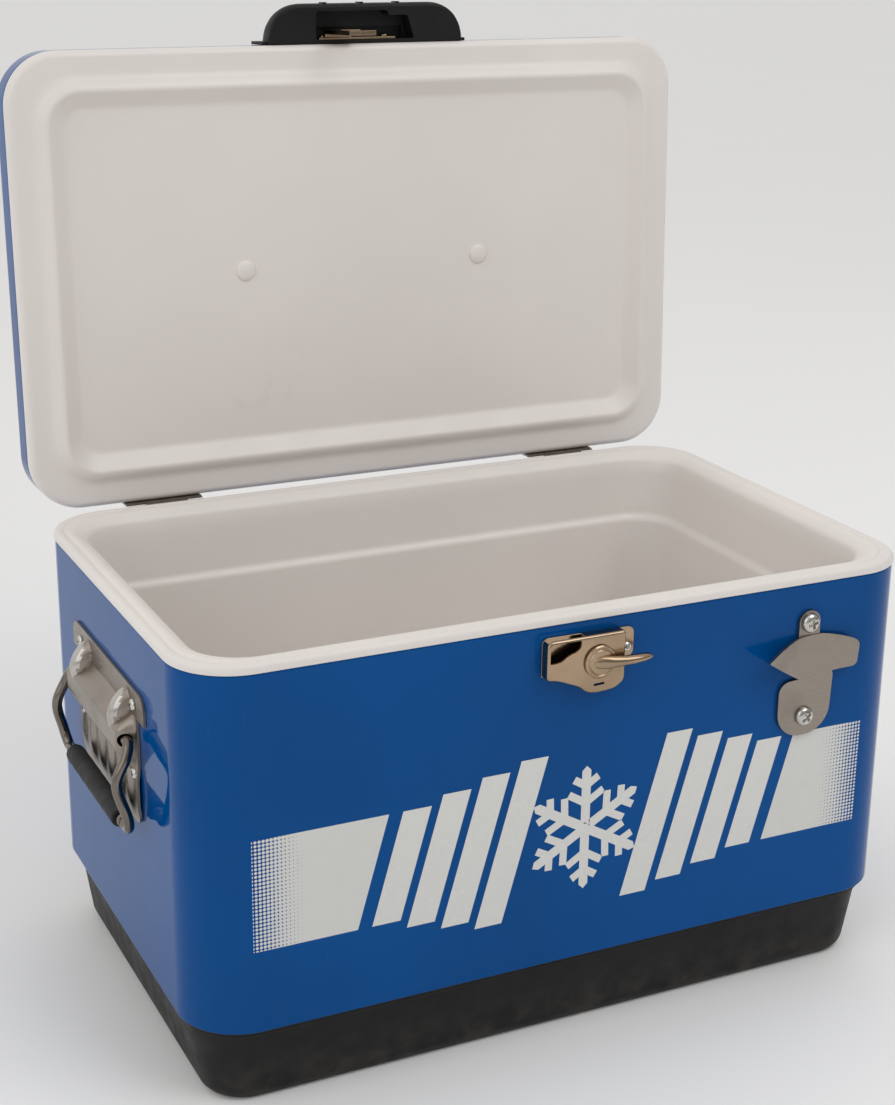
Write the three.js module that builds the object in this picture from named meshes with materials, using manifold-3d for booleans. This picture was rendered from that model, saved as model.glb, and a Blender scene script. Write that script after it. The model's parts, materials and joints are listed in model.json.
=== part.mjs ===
// Steel-belted picnic ice chest with its lid open, as an assembly of separate pieces.
// Millimetres. X runs along the chest, Y from the latch side to the hinge side, Z up.
// The origin is the centre of the base's underside.
import * as THREE from 'three';
import { mergeVertices } from 'three/addons/utils/BufferGeometryUtils.js';
import Module from 'manifold-3d';

const wasm = await Module();
wasm.setup();

// ---------------------------------------------------------------- driving dimensions

const gap = 0.3; // between pieces that touch
const cornerSegments = 8; // facets in each quarter turn of the big shells

// Chest body
const bodyWidth = 590;
const bodyDepth = 370;
const cornerRadius = 48;
const baseHeight = 65;
const jacketHeight = 271;
const jacketSheet = 1;
const jacketFlange = 11; // rolled-in edge that stands on the base
const rimHeight = 7;
const rimOverhang = 0.8;
const baseWall = 3;
const baseFloor = 4;
const baseTaper = 15.2; // how far the foot of the base stands in from the jacket
const baseLip = 4.5; // how far its lip does
const baseLipHeight = 5;
const linerWall = 3;
const linerFloorHeight = 40;
const wallThickness = 24.5; // jacket face to cavity, just under the rim
const cavityRadius = 40;
const ledgeDrop = 57; // rim top to the ledge round the cavity

// Lid, measured closed
const lidGap = 0.5; // rim top to lid liner
const lidWidth = bodyWidth + 5.4;
const lidDepth = bodyDepth - 5;
const lidRadius = cornerRadius - 5.4;
const lidHeight = 44;
const lidLinerEdge = 10; // white edge showing under the lid's skin
const lidLinerInset = 0.8;
const lidLinerLip = 5.6; // width of the upstand round the liner's edge
const lidShift = 2.7; // the lid's centre stands this far behind the body's
const lidSheet = 1.2;
const lidFlange = 6;
const lidRidgeInset = 20;
const lidRidgeDrop = 7;
const ridgeRadius = cornerRadius - 12; // the ridge's outer corners clear the tub's
const lidRecess = 3;
const lidLinerWall = 3;
const fillPlug = { x: 107, cap: 8.5, stem: 4, length: 5 };
const openAngle = THREE.MathUtils.degToRad(92.4);

// Hinges
const hingeOffset = 5; // pin axis behind the jacket
const hingeDrop = 6.2; // pin axis below the rim top
const hingeSpread = bodyWidth / 2 - 107;
const hingeWidth = 66;
const knuckleRadius = 3.6;
const hingePinRadius = 1.6;
const leafSheet = 1.6;
const bodyLeafHeight = 36;
const lidLeafHeight = 40;

// Turn latch on the front
const leverX = 8;
const leverDrop = 28; // jacket top to the lever's axis
const leverReach = 40.5;
const leverDiscRadius = 12.5;
const latchShaftRadius = 4;
const latchDepth = 11;
const latchSheet = 1.5;
const camReach = 18;
const latchTopRise = 20; // lever's axis to the top of the housing

// Lid handle
const lidHandleWidth = 174;
const lidHandleNose = 116;
const lidHandleReach = 32;
const lidHandleOffset = 7.5; // its middle stands this far right of the lid's
const lidHandleHeight = 30;
const strikeX = -17.5;
const strikeWidth = 23;
const strikeThickness = 3.8;

// Bottle opener
const openerFromEdge = 100; // its screws stand this far in from the right-hand end
const openerDrop = 30; // jacket top to the upper screw
const openerScrewPitch = 76.3;
const openerSheet = 2.6;
const openerLobe = { left: -24, right: 23, bottom: -92, rounding: 21 };

// Carrying handles on the ends
const handleDrop = 46.4; // jacket top to the wing plate's top edge
const wingWidth = 182;
const wingHeight = 21;
const skirtWidth = 146;
const handlePlateHeight = 105;
const handleSheet = 2;
const channelSheet = 1.6;
const channelCover = 1.5; // metal outside the rod in the arch over its ends
const rodRadius = 4;
const rodPlay = 0.9; // round the rod where it passes through the ears
const gripRadius = 7.5;
const gripLength = skirtWidth - 22;
const bailDrop = 63; // pivot to crossbar
const bailHalfWidth = skirtWidth / 2 + 14;
const bailPivotDrop = 38.2; // plate's top edge to the rod's axis in the ears
const bailPivotOut = 9.6;
const channelReach = bailPivotOut + rodRadius + rodPlay + channelCover;
const crossbarOut = 13.2;
const bossInset = 41; // wing's end to the middle of each domed boss
const wingScrewInset = 23;
const skirtScrewInset = 7;

// Drain
const drainHeight = 47;
const drainBore = 4.5;
const drainTubeRadius = 6.5;
const drainFlangeRadius = 12;
const drainCapRadius = 11;
const drainCapLength = 12;
const drainBossRise = 11; // how far the boss stands out from the foot of the base
const gasketThickness = 1.5;

// Fasteners: shank radius, head radius, head height, length under the head
const smallScrew = { shank: 1.6, head: 3.4, rise: 2, length: 9 };
const plateScrew = { shank: 2.2, head: 5, rise: 3, length: 12 };
const openerScrew = { shank: 2.2, head: 7, rise: 4, length: 12 };

// ---------------------------------------------------------------- finishes

const finishes = {
  bluePaint: { color: 0x10488a, roughness: 0.25, metalness: 0.2 },
  whitePlastic: { color: 0xd8d3cd, roughness: 0.45, metalness: 0 },
  blackPlastic: { color: 0x1b1b1c, roughness: 0.55, metalness: 0 },
  foam: { color: 0xe9dfb8, roughness: 0.9, metalness: 0 },
  nickel: { color: 0xb09a80, roughness: 0.22, metalness: 1 },
  stainless: { color: 0x9c9893, roughness: 0.4, metalness: 1 },
  darkSteel: { color: 0x55504b, roughness: 0.45, metalness: 1 },
  rubber: { color: 0x202224, roughness: 0.8, metalness: 0 },
};

// ---------------------------------------------------------------- solid helpers

// A closed three.js geometry as a manifold solid.
function solid(geometry) {
  const bare = geometry.clone();
  bare.deleteAttribute('normal');
  bare.deleteAttribute('uv');
  const merged = mergeVertices(bare, 1e-4);
  return new wasm.Manifold(new wasm.Mesh({
    numProp: 3,
    vertProperties: new Float32Array(merged.attributes.position.array),
    triVerts: new Uint32Array(merged.index.array),
  }));
}

function geometryOf(shape) {
  const { vertProperties, triVerts } = shape.getMesh();
  const geometry = new THREE.BufferGeometry();
  geometry.setAttribute('position', new THREE.BufferAttribute(vertProperties, 3));
  geometry.setIndex(new THREE.BufferAttribute(triVerts, 1));
  geometry.computeVertexNormals();
  return geometry;
}

const join = (first, ...others) => others.reduce((sum, other) => sum.add(other), first);
const cut = (first, ...others) => others.reduce((rest, other) => rest.subtract(other), first);

function piece(parent, name, shape, finish) {
  const mesh = new THREE.Mesh(geometryOf(shape), new THREE.MeshStandardMaterial(finish));
  mesh.name = name;
  parent.add(mesh);
  return mesh;
}

function box([x0, x1], [y0, y1], [z0, z1]) {
  const geometry = new THREE.BoxGeometry(x1 - x0, y1 - y0, z1 - z0);
  geometry.translate((x0 + x1) / 2, (y0 + y1) / 2, (z0 + z1) / 2);
  return solid(geometry);
}

// A round bar along one axis; at gives the other two coordinates in X, Y, Z order.
function bar(axis, radius, [start, end], at, sides = 16) {
  const geometry = new THREE.CylinderGeometry(radius, radius, end - start, sides);
  geometry.translate(0, (start + end) / 2, 0);
  if (axis === 'x') geometry.rotateZ(-Math.PI / 2).translate(0, at[0], at[1]);
  if (axis === 'y') geometry.translate(at[0], 0, at[1]);
  if (axis === 'z') geometry.rotateX(Math.PI / 2).translate(at[0], at[1], 0);
  return solid(geometry);
}

function roundedRect(width, height, radius) {
  const x = width / 2 - radius;
  const y = height / 2 - radius;
  const shape = new THREE.Shape();
  shape.absarc(x, y, radius, 0, Math.PI / 2);
  shape.absarc(-x, y, radius, Math.PI / 2, Math.PI);
  shape.absarc(-x, -y, radius, Math.PI, 1.5 * Math.PI);
  shape.absarc(x, -y, radius, 1.5 * Math.PI, 2 * Math.PI);
  return shape;
}

// A rounded rectangle carried up through rows of [inset, height, corner radius].
function loft(width, depth, radius, rows) {
  const levels = rows.length - 1;
  const geometry = new THREE.ExtrudeGeometry(roundedRect(width, depth, radius), {
    depth: levels, steps: levels, bevelEnabled: false, curveSegments: cornerSegments / 2,
  });
  const position = geometry.attributes.position;
  for (let i = 0; i < position.count; i += 1) {
    const [inset, height, rowRadius = radius - inset] = rows[Math.round(position.getZ(i))];
    const place = (value, half) => {
      const side = Math.sign(value);
      const turn = (value - side * (half - radius)) / radius;
      return side * (half - inset - rowRadius) + turn * rowRadius;
    };
    position.setXYZ(i, place(position.getX(i), width / 2), place(position.getY(i), depth / 2),
      height);
  }
  return solid(geometry);
}

function outline(points) {
  return new THREE.Shape(points.map(([x, y]) => new THREE.Vector2(x, y)));
}

// An outline drawn in X and Z, standing out from the jacket's front between two distances.
function onFront(shape, [near, far], segments = 4) {
  const geometry = new THREE.ExtrudeGeometry(shape, {
    depth: far - near, bevelEnabled: false, curveSegments: segments,
  });
  geometry.rotateX(Math.PI / 2).translate(0, -bodyDepth / 2 - near, 0);
  return solid(geometry);
}

// An outline drawn in Y and Z, standing out from the right-hand end between two distances.
function onEnd(shape, [near, far], segments = 3) {
  const geometry = new THREE.ExtrudeGeometry(shape, {
    depth: far - near, bevelEnabled: false, curveSegments: segments,
  });
  geometry.rotateX(Math.PI / 2).rotateZ(Math.PI / 2).translate(bodyWidth / 2 + near, 0, 0);
  return solid(geometry);
}

// ---------------------------------------------------------------- screws

const up = new THREE.Vector3(0, 1, 0);
const turnTo = (out) => new THREE.Quaternion().setFromUnitVectors(up, new THREE.Vector3(...out));

// A pan-head screw whose head seats at the given point and faces out.
function screw(parent, name, { at, out, size }, finish) {
  const { shank, head, rise, length } = size;
  const profile = [[0, -length], [shank, -length], [shank, 0], [head, 0], [head, rise * 0.4],
    [head * 0.7, rise * 0.9], [0, rise]];
  const points = profile.map(([r, h]) => new THREE.Vector2(r, h));
  const mesh = piece(parent, name, solid(new THREE.LatheGeometry(points, 8)), finish);
  mesh.position.set(...at);
  mesh.quaternion.copy(turnTo(out));
}

function screwHole({ at, out, size }) {
  const radius = size.shank + 2 * gap;
  const start = -size.length - 2 * gap;
  const geometry = new THREE.CylinderGeometry(radius, radius, size.rise - start, 8);
  geometry.translate(0, (size.rise + start) / 2, 0).applyQuaternion(turnTo(out)).translate(...at);
  return solid(geometry);
}

// ---------------------------------------------------------------- levels

const front = -bodyDepth / 2;
const back = bodyDepth / 2;
const end = bodyWidth / 2;
const jacketBottom = baseHeight + gap;
const jacketTop = jacketBottom + jacketHeight;
const rimUnderside = jacketTop + gap;
const rimTop = rimUnderside + rimHeight;
const ledgeHeight = rimTop - ledgeDrop;
const lidSeat = rimTop + lidGap;
const lidTop = lidSeat + lidHeight;
const skinBottom = lidSeat + lidLinerEdge + gap;
const lidFront = lidShift - lidDepth / 2;
const lidBack = lidShift + lidDepth / 2;
const hingeY = back + hingeOffset;
const hingeZ = rimTop - hingeDrop;
const leverZ = jacketTop - leverDrop;
const openerX = end - openerFromEdge;
const openerZ = jacketTop - openerDrop;
const plateTop = jacketTop - handleDrop;
const pivotZ = plateTop - bailPivotDrop;
const crossbarZ = pivotZ - bailDrop;
const drainSeat = end - baseTaper + drainBossRise;
const drainFlange = [drainSeat + gasketThickness + 2 * gap, drainSeat + gasketThickness + 2.5 + 2 * gap];

// Rows of the base's outer wall, foot to lip.
const baseRows = [
  [baseTaper + 6, 0],
  [baseTaper + 2, 2.5],
  [baseTaper, 7],
  [baseLip + 3, baseHeight - baseLipHeight - 1],
  [baseLip, baseHeight - baseLipHeight],
  [baseLip, baseHeight],
];
const within = (rows, wall) => rows.map(([inset, height]) => [inset + wall, height]);

// Rows of the food cavity, floor to rim.
const cavityRows = [
  [wallThickness + 24, linerFloorHeight, cavityRadius - 20],
  [wallThickness + 19, linerFloorHeight + 2, cavityRadius - 16],
  [wallThickness + 17, linerFloorHeight + 6, cavityRadius - 14],
  [wallThickness + 6.5, ledgeHeight - 3, cavityRadius - 5],
  [wallThickness + 3, ledgeHeight, cavityRadius - 3],
  [wallThickness, rimTop - 15.5, cavityRadius],
  [wallThickness - 2, rimTop - 7, cavityRadius + 1],
  [wallThickness - 5.5, rimTop - 3, cavityRadius + 2],
  [wallThickness - 9, rimTop - 0.7, cavityRadius + 3],
  [wallThickness - 12, rimTop, cavityRadius + 4],
];

// Rows of the tub's outside below the rim, with an allowance all round.
function tubRows(allowance) {
  const wall = linerWall + allowance;
  return [
    [cavityRows[0][0] - wall, linerFloorHeight - wall, cavityRadius - 18],
    [cavityRows[2][0] - wall, linerFloorHeight + 3, cavityRadius - 13],
    [cavityRows[3][0] - wall, ledgeHeight - 4, cavityRadius - 3],
    [cavityRows[4][0] - wall, ledgeHeight, cavityRadius],
    [cavityRows[6][0] - wall, rimUnderside - allowance, cavityRadius + 2],
  ];
}

// ---------------------------------------------------------------- fastener places

const latchPlateFace = front - gap - latchSheet;
const latchScrews = {
  left: { at: [4, latchPlateFace - gap, leverZ - 14.5], out: [0, -1, 0], size: smallScrew },
  right: { at: [35, latchPlateFace - gap, leverZ + 4], out: [0, -1, 0], size: smallScrew },
};
const openerFace = front - gap - openerSheet - gap;
const openerScrews = {
  top: { at: [openerX, openerFace, openerZ], out: [0, -1, 0], size: openerScrew },
  bottom: { at: [openerX, openerFace, openerZ - openerScrewPitch], out: [0, -1, 0],
    size: openerScrew },
};
const handleFace = end + gap + handleSheet + gap;
const wingScrewY = wingWidth / 2 - wingScrewInset;
const skirtScrewY = skirtWidth / 2 - skirtScrewInset;
const handleScrewPlaces = [[-wingScrewY, 12], [wingScrewY, 12], [-skirtScrewY, 66], [skirtScrewY, 66]];
const handleScrews = handleScrewPlaces.map(([y, drop]) => (
  { at: [handleFace, y, plateTop - drop], out: [1, 0, 0], size: plateScrew }
));
const hingeScrews = (side) => {
  const centre = side * hingeSpread;
  const bodyFace = back + gap + leafSheet + gap;
  const lidFace = lidBack + gap + leafSheet + gap;
  return [-1, 1].map((hand) => ({
    body: { at: [centre + hand * 20, bodyFace, hingeZ - 20], out: [0, 1, 0], size: smallScrew },
    lid: { at: [centre + hand * 20, lidFace, hingeZ + 34], out: [0, 1, 0], size: smallScrew },
  }));
};
const handleBackWall = 3;
const bracketFace = lidFront - gap - handleBackWall - gap - latchSheet;
const lidHandleScrews = [[-28.5, 'left'], [27, 'right']].map(([x, hand]) => ({
  hand, at: [x, bracketFace - gap, skinBottom + 7], out: [0, -1, 0], size: smallScrew,
}));

// ---------------------------------------------------------------- body

function makeBody(model) {
  const baseHoleAt = [0, drainHeight];
  const drainHole = bar('x', drainTubeRadius + gap, [end - 70, end + 20], baseHoleAt);
  const screwHoles = [
    ...Object.values(latchScrews), ...Object.values(openerScrews),
    ...[-1, 1].flatMap((side) => hingeScrews(side).map((pair) => pair.body)),
  ].map(screwHole);
  const endHoles = handleScrews.map(screwHole);
  const holes = [...screwHoles, ...endHoles, ...endHoles.map((hole) => hole.rotate([0, 0, 180]))];

  const baseInner = [
    [baseTaper + 6 + baseWall, baseFloor],
    ...within(baseRows.slice(2, 4), baseWall),
    [baseLip + 3 + baseWall, baseHeight + 1],
  ];
  const drainBoss = bar('x', drainFlangeRadius + 1, [end - baseTaper, drainSeat], baseHoleAt);
  const basePan = loft(bodyWidth, bodyDepth, cornerRadius, baseRows).add(drainBoss);
  const drainPocket = bar('x', drainFlangeRadius + 1, [drainSeat, end], baseHoleAt);
  const baseTray = cut(basePan, loft(bodyWidth, bodyDepth, cornerRadius, baseInner), drainHole,
    drainPocket);
  piece(model, 'base_tray', baseTray, finishes.blackPlastic);

  const jacketOuter = loft(bodyWidth, bodyDepth, cornerRadius,
    [[0, jacketBottom], [0, jacketTop]]);
  const jacketInner = loft(bodyWidth, bodyDepth, cornerRadius, [
    [jacketFlange, jacketBottom - 1],
    [jacketFlange, jacketBottom + jacketSheet],
    [jacketSheet, jacketBottom + jacketSheet],
    [jacketSheet, jacketTop - jacketSheet],
    [jacketFlange, jacketTop - jacketSheet],
    [jacketFlange, jacketTop + 1],
  ]);
  piece(model, 'outer_jacket', cut(jacketOuter, jacketInner, ...holes), finishes.bluePaint);

  const foamOuter = loft(bodyWidth, bodyDepth, cornerRadius, [
    [baseTaper + 6 + baseWall + gap, baseFloor + gap],
    [baseTaper + baseWall + 1, 8],
    [baseLip + 3 + baseWall + gap, baseHeight - baseLipHeight - 1],
    [jacketFlange + gap, baseHeight - 2],
    [jacketFlange + gap, jacketBottom + jacketSheet + gap],
    [jacketSheet + gap, jacketBottom + jacketSheet + gap],
    [jacketSheet + gap, jacketTop - jacketSheet - gap],
  ]);
  const foam = cut(foamOuter, loft(bodyWidth, bodyDepth, cornerRadius, tubRows(gap)), drainHole,
    ...holes);
  piece(model, 'body_foam', foam, finishes.foam);

  const tub = loft(bodyWidth, bodyDepth, cornerRadius, [
    ...tubRows(0),
    [-rimOverhang, rimUnderside, cornerRadius + rimOverhang],
    [-rimOverhang, rimUnderside + rimHeight * 0.6, cornerRadius + rimOverhang],
    [0.4, rimTop - 0.9, cornerRadius],
    [2.8, rimTop, cornerRadius - 2],
  ]);
  const liner = cut(tub, loft(bodyWidth, bodyDepth, cornerRadius, cavityRows), drainHole);
  piece(model, 'inner_liner', liner, finishes.whitePlastic);
}

// ---------------------------------------------------------------- drain

function makeDrain(model) {
  const at = [0, drainHeight];
  const tubeStart = end - cavityRows[2][0];
  const capStart = drainFlange[1] + gap;
  const spoutEnd = capStart + drainCapLength - 5;
  const spout = cut(
    join(
      bar('x', drainTubeRadius, [tubeStart, spoutEnd], at),
      bar('x', drainFlangeRadius, drainFlange, at),
    ),
    bar('x', drainBore, [tubeStart - 1, spoutEnd + 1], at),
  );
  piece(model, 'drain_spout', spout, finishes.blackPlastic);
  const gasket = cut(
    bar('x', drainFlangeRadius, [drainSeat + gap, drainSeat + gasketThickness + gap], at),
    bar('x', drainTubeRadius + gap, [drainSeat, drainFlange[0]], at),
  );
  piece(model, 'drain_gasket', gasket, finishes.rubber);
  const washer = bar('x', drainTubeRadius, [spoutEnd + gap, spoutEnd + gap + 1.5], at);
  piece(model, 'drain_washer', washer, finishes.rubber);
  const ribs = Array.from({ length: 8 }, (_, i) => {
    const angle = (i * 2 * Math.PI) / 8;
    const offset = [drainCapRadius * Math.cos(angle), drainHeight + drainCapRadius * Math.sin(angle)];
    return bar('x', 1.1, [capStart, capStart + drainCapLength - 1], offset, 6);
  });
  const cap = cut(
    join(bar('x', drainCapRadius, [capStart, capStart + drainCapLength], at, 20), ...ribs),
    bar('x', drainTubeRadius + 2 * gap, [capStart - 1, spoutEnd + 1.5 + 2 * gap], at),
  );
  piece(model, 'drain_cap', cap, finishes.blackPlastic);
}

// ---------------------------------------------------------------- latch

function makeLatch(model) {
  const z = leverZ;
  const backSheet = [gap, gap + latchSheet];
  const inside = [gap + latchSheet + gap, latchDepth - latchSheet];
  const axis = [leverX, z];

  const plateOutline = outline([[-34, z - 9.5], [-26, z - 10.5], [-5, z - 19.5], [29.5, z - 17],
    [29.5, z - 6], [41, z - 3], [41, z + 17], [39, z + 19], [-31, z + latchTopRise], [-34, z + 16]]);
  const plate = cut(onFront(plateOutline, backSheet),
    ...Object.values(latchScrews).map(screwHole));
  piece(model, 'latch_back_plate', plate, finishes.nickel);

  const shell = outline([[-34, z - 9.5], [-26, z - 10.5], [-5, z - 19.5], [-3, z - 23],
    [1, z - 24.5], [13, z - 25], [25, z - 22], [29.5, z - 17], [29.5, z + latchTopRise],
    [-34, z + latchTopRise]]);
  const openBack = front - inside[0] + 1;
  const innerTop = z + latchTopRise - latchSheet;
  const depthOf = (near, far) => [front - far, front - near];
  const housing = cut(
    onFront(shell, [inside[0], latchDepth]),
    box([-34 + latchSheet, 28], [front - inside[1], openBack], [z - 8, innerTop]),
    box([-1, 27], [front - inside[1], openBack], [z - 19, z]),
    box([-34 + latchSheet, -13], depthOf(latchDepth - 2, latchDepth + 1), [z + 3.5, innerTop]),
    box([-34 + latchSheet, strikeX + strikeWidth / 2 + 3], depthOf(2, 9),
      [innerTop - 1, innerTop + 5]),
    bar('y', latchShaftRadius + 2 * gap, depthOf(inside[0], latchDepth + 1), axis),
  );
  piece(model, 'latch_housing', housing, finishes.nickel);

  const disc = [latchDepth + gap, latchDepth + 3];
  const blade = outline([[-4, -3], [4, -5], [leverReach - 10, -4], [leverReach, 0],
    [leverReach - 10, 4], [4, 5], [-4, 3]].map(([x, dz]) => [leverX + x, z + dz]));
  const lever = join(
    bar('y', leverDiscRadius, depthOf(...disc), axis, 24),
    onFront(blade, [disc[1] - gap, disc[1] + 5]),
    bar('y', latchShaftRadius, depthOf(2.4, disc[0] + 1), axis, 12),
  );
  piece(model, 'latch_lever', lever, finishes.nickel);

  const camSpan = depthOf(2.8, 6.2);
  const cam = cut(
    join(
      bar('y', 7.5, camSpan, axis, 16),
      box([leverX - 3.5, leverX + 3.5], camSpan, [z, z + camReach]),
    ),
    bar('y', latchShaftRadius + gap, [camSpan[0] - 1, camSpan[1] + 1], axis, 12),
  );
  piece(model, 'latch_cam', cam, finishes.darkSteel);
  for (const hand of ['left', 'right']) {
    screw(model, `latch_screw_${hand}`, latchScrews[hand], finishes.nickel);
  }
}

// ---------------------------------------------------------------- bottle opener

function makeOpener(model) {
  const x = openerX;
  const z = openerZ;
  const flat = [gap, gap + openerSheet];
  const { left, right, bottom, rounding } = openerLobe;
  const lobe = new THREE.Shape();
  lobe.moveTo(x + right, z - 44);
  lobe.lineTo(x + left + 7, z - 46);
  lobe.quadraticCurveTo(x + left, z - 47, x + left, z - 54);
  lobe.absarc(x + left + rounding, z + bottom + rounding, rounding, Math.PI, 1.5 * Math.PI);
  lobe.absarc(x + right - rounding, z + bottom + rounding, rounding, -Math.PI / 2, 0);
  lobe.closePath();
  const ear = new THREE.Shape().absarc(x, z, 9.5, 0, 2 * Math.PI);
  const stem = outline([[x - 9, z - 40], [x + 9, z - 40], [x + 9, z], [x - 9, z]]);
  const web = outline([[x - 8, z - 60], [x + 23, z - 60], [x + 24.8, z - 42], [x + 24.8, z - 14],
    [x - 8, z - 14]]);
  const plate = join(onFront(ear, flat), onFront(stem, flat), onFront(web, flat),
    onFront(lobe, flat, 8));

  // The hood is a bent strip, trimmed to its outline.
  const bend = [[-46, 19], [-30, 12], [-12, 5.5], [8, 3.5], [28, 5], [47, 10]];
  const sheet = [...bend, ...bend.map(([dx, out]) => [dx, out - openerSheet]).reverse()];
  const strip = new THREE.ExtrudeGeometry(outline(sheet.map(([dx, out]) => [x + dx, front - out])),
    { depth: 50, bevelEnabled: false });
  strip.translate(0, 0, z - 55);
  const hoodOutline = outline([[-45.4, -21], [-25, -34.5], [-8, -44.3], [25, -41], [40, -39.3],
    [42, -36], [43, -22], [40, -17.5], [30, -12.9], [11, -10], [-8.6, -10.4], [-24.7, -14.4],
    [-35, -17.4]].map(([dx, dz]) => [x + dx, z + dz]));
  const hood = solid(strip).intersect(onFront(hoodOutline, [0, 30]));
  const opener = cut(join(plate, hood), ...Object.values(openerScrews).map(screwHole));
  piece(model, 'bottle_opener', opener, finishes.stainless);
  for (const place of ['top', 'bottom']) {
    screw(model, `opener_screw_${place}`, openerScrews[place], finishes.stainless);
  }
}

// ---------------------------------------------------------------- carrying handles

// The bent rod's centre line, one half from its inner tip to the middle of the crossbar.
function bailPath() {
  const at = (y, out, z) => new THREE.Vector3(end + out, y, z);
  const half = [
    [skirtWidth / 2 - 8, bailPivotOut, pivotZ], [skirtWidth / 2 + 2, bailPivotOut, pivotZ],
    [skirtWidth / 2 + 7, bailPivotOut + 3.5, pivotZ - 9], [bailHalfWidth - 6, 20.8, pivotZ - 27.5],
    [bailHalfWidth - 1, 15.5, crossbarZ + 12], [bailHalfWidth - 7, crossbarOut, crossbarZ],
    [gripLength / 2 + 6, crossbarOut, crossbarZ], [gripLength / 4, crossbarOut, crossbarZ],
  ];
  const points = [
    ...half.map(([y, out, z]) => at(y, out, z)),
    ...half.toReversed().map(([y, out, z]) => at(-y, out, z)),
  ];
  return new THREE.CatmullRomCurve3(points, false, 'centripetal');
}

// A section drawn as distance out and height above the pivot, run along the end of the chest.
function alongEnd(section, length) {
  const geometry = new THREE.ExtrudeGeometry(outline(section), { depth: length, bevelEnabled: false });
  geometry.rotateX(Math.PI / 2).translate(end, length / 2, pivotZ);
  return solid(geometry);
}

function makeHandle(parent, side) {
  const skirtTop = plateTop - wingHeight;
  const sheetSpan = [gap, gap + handleSheet];
  const wing = outline([
    [-wingWidth / 2, skirtTop], [wingWidth / 2, skirtTop], [wingWidth / 2, plateTop - 10],
    [wingWidth / 2 - 10, plateTop], [-wingWidth / 2 + 10, plateTop],
    [-wingWidth / 2, plateTop - 10],
  ]);
  const skirtBottom = plateTop - handlePlateHeight;
  const skirt = outline([
    [-skirtWidth / 2 + 8, skirtBottom], [skirtWidth / 2 - 8, skirtBottom],
    [skirtWidth / 2, skirtBottom + 8], [skirtWidth / 2, skirtTop + 1],
    [-skirtWidth / 2, skirtTop + 1], [-skirtWidth / 2, skirtBottom + 8],
  ]);
  const bosses = [-1, 1].map((hand) => {
    const dome = new THREE.SphereGeometry(1, 12, 8);
    dome.scale(8, 7, 14).translate(end + gap, hand * (wingWidth / 2 - bossInset), plateTop - 18);
    return solid(dome).intersect(box([end + gap, end + 20], [-90, 90], [0, rimTop]));
  });
  const inner = rodRadius + rodPlay;
  const outer = inner + channelSheet;
  const crown = channelReach - 2;
  const arch = alongEnd([[gap, -outer - 3], [3, -outer - 1], [crown, -outer], [channelReach, -outer + 2],
    [channelReach, outer - 2], [crown, outer], [3, outer + 1], [gap, outer + 3]], skirtWidth);
  const tunnel = alongEnd([[-1, -inner], [bailPivotOut + inner, -inner], [bailPivotOut + inner, inner],
    [-1, inner]], skirtWidth + 2);
  const plate = cut(
    join(onEnd(wing, sheetSpan), onEnd(skirt, sheetSpan), arch, ...bosses),
    tunnel,
    ...handleScrews.map(screwHole),
  );
  piece(parent, `${side}_handle_plate`, plate, finishes.stainless);

  const section = new THREE.Shape().absarc(0, 0, rodRadius, 0, 2 * Math.PI);
  const rod = new THREE.ExtrudeGeometry(section,
    { steps: 40, extrudePath: bailPath(), bevelEnabled: false, curveSegments: 4 });
  piece(parent, `${side}_bail`, solid(rod), finishes.stainless);

  const grip = cut(
    bar('y', gripRadius, [-gripLength / 2, gripLength / 2], [end + crossbarOut, crossbarZ], 16),
    bar('y', rodRadius + 2 * gap, [-gripLength, gripLength], [end + crossbarOut, crossbarZ], 12),
  );
  piece(parent, `${side}_grip`, grip, finishes.rubber);
  handleScrews.forEach((place, i) => {
    screw(parent, `${side}_handle_screw_${i + 1}`, place, finishes.stainless);
  });
}

// ---------------------------------------------------------------- hinges

const knuckleCuts = [0, 0.25, 0.79, 1];

function knuckle(side, index) {
  const left = side * hingeSpread - hingeWidth / 2;
  const from = left + hingeWidth * knuckleCuts[index] + (index > 0 ? gap / 2 : 0);
  const to = left + hingeWidth * knuckleCuts[index + 1] - (index < 2 ? gap / 2 : 0);
  return { span: [from, to], solid: bar('x', knuckleRadius, [from, to], [hingeY, hingeZ], 12) };
}

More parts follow.
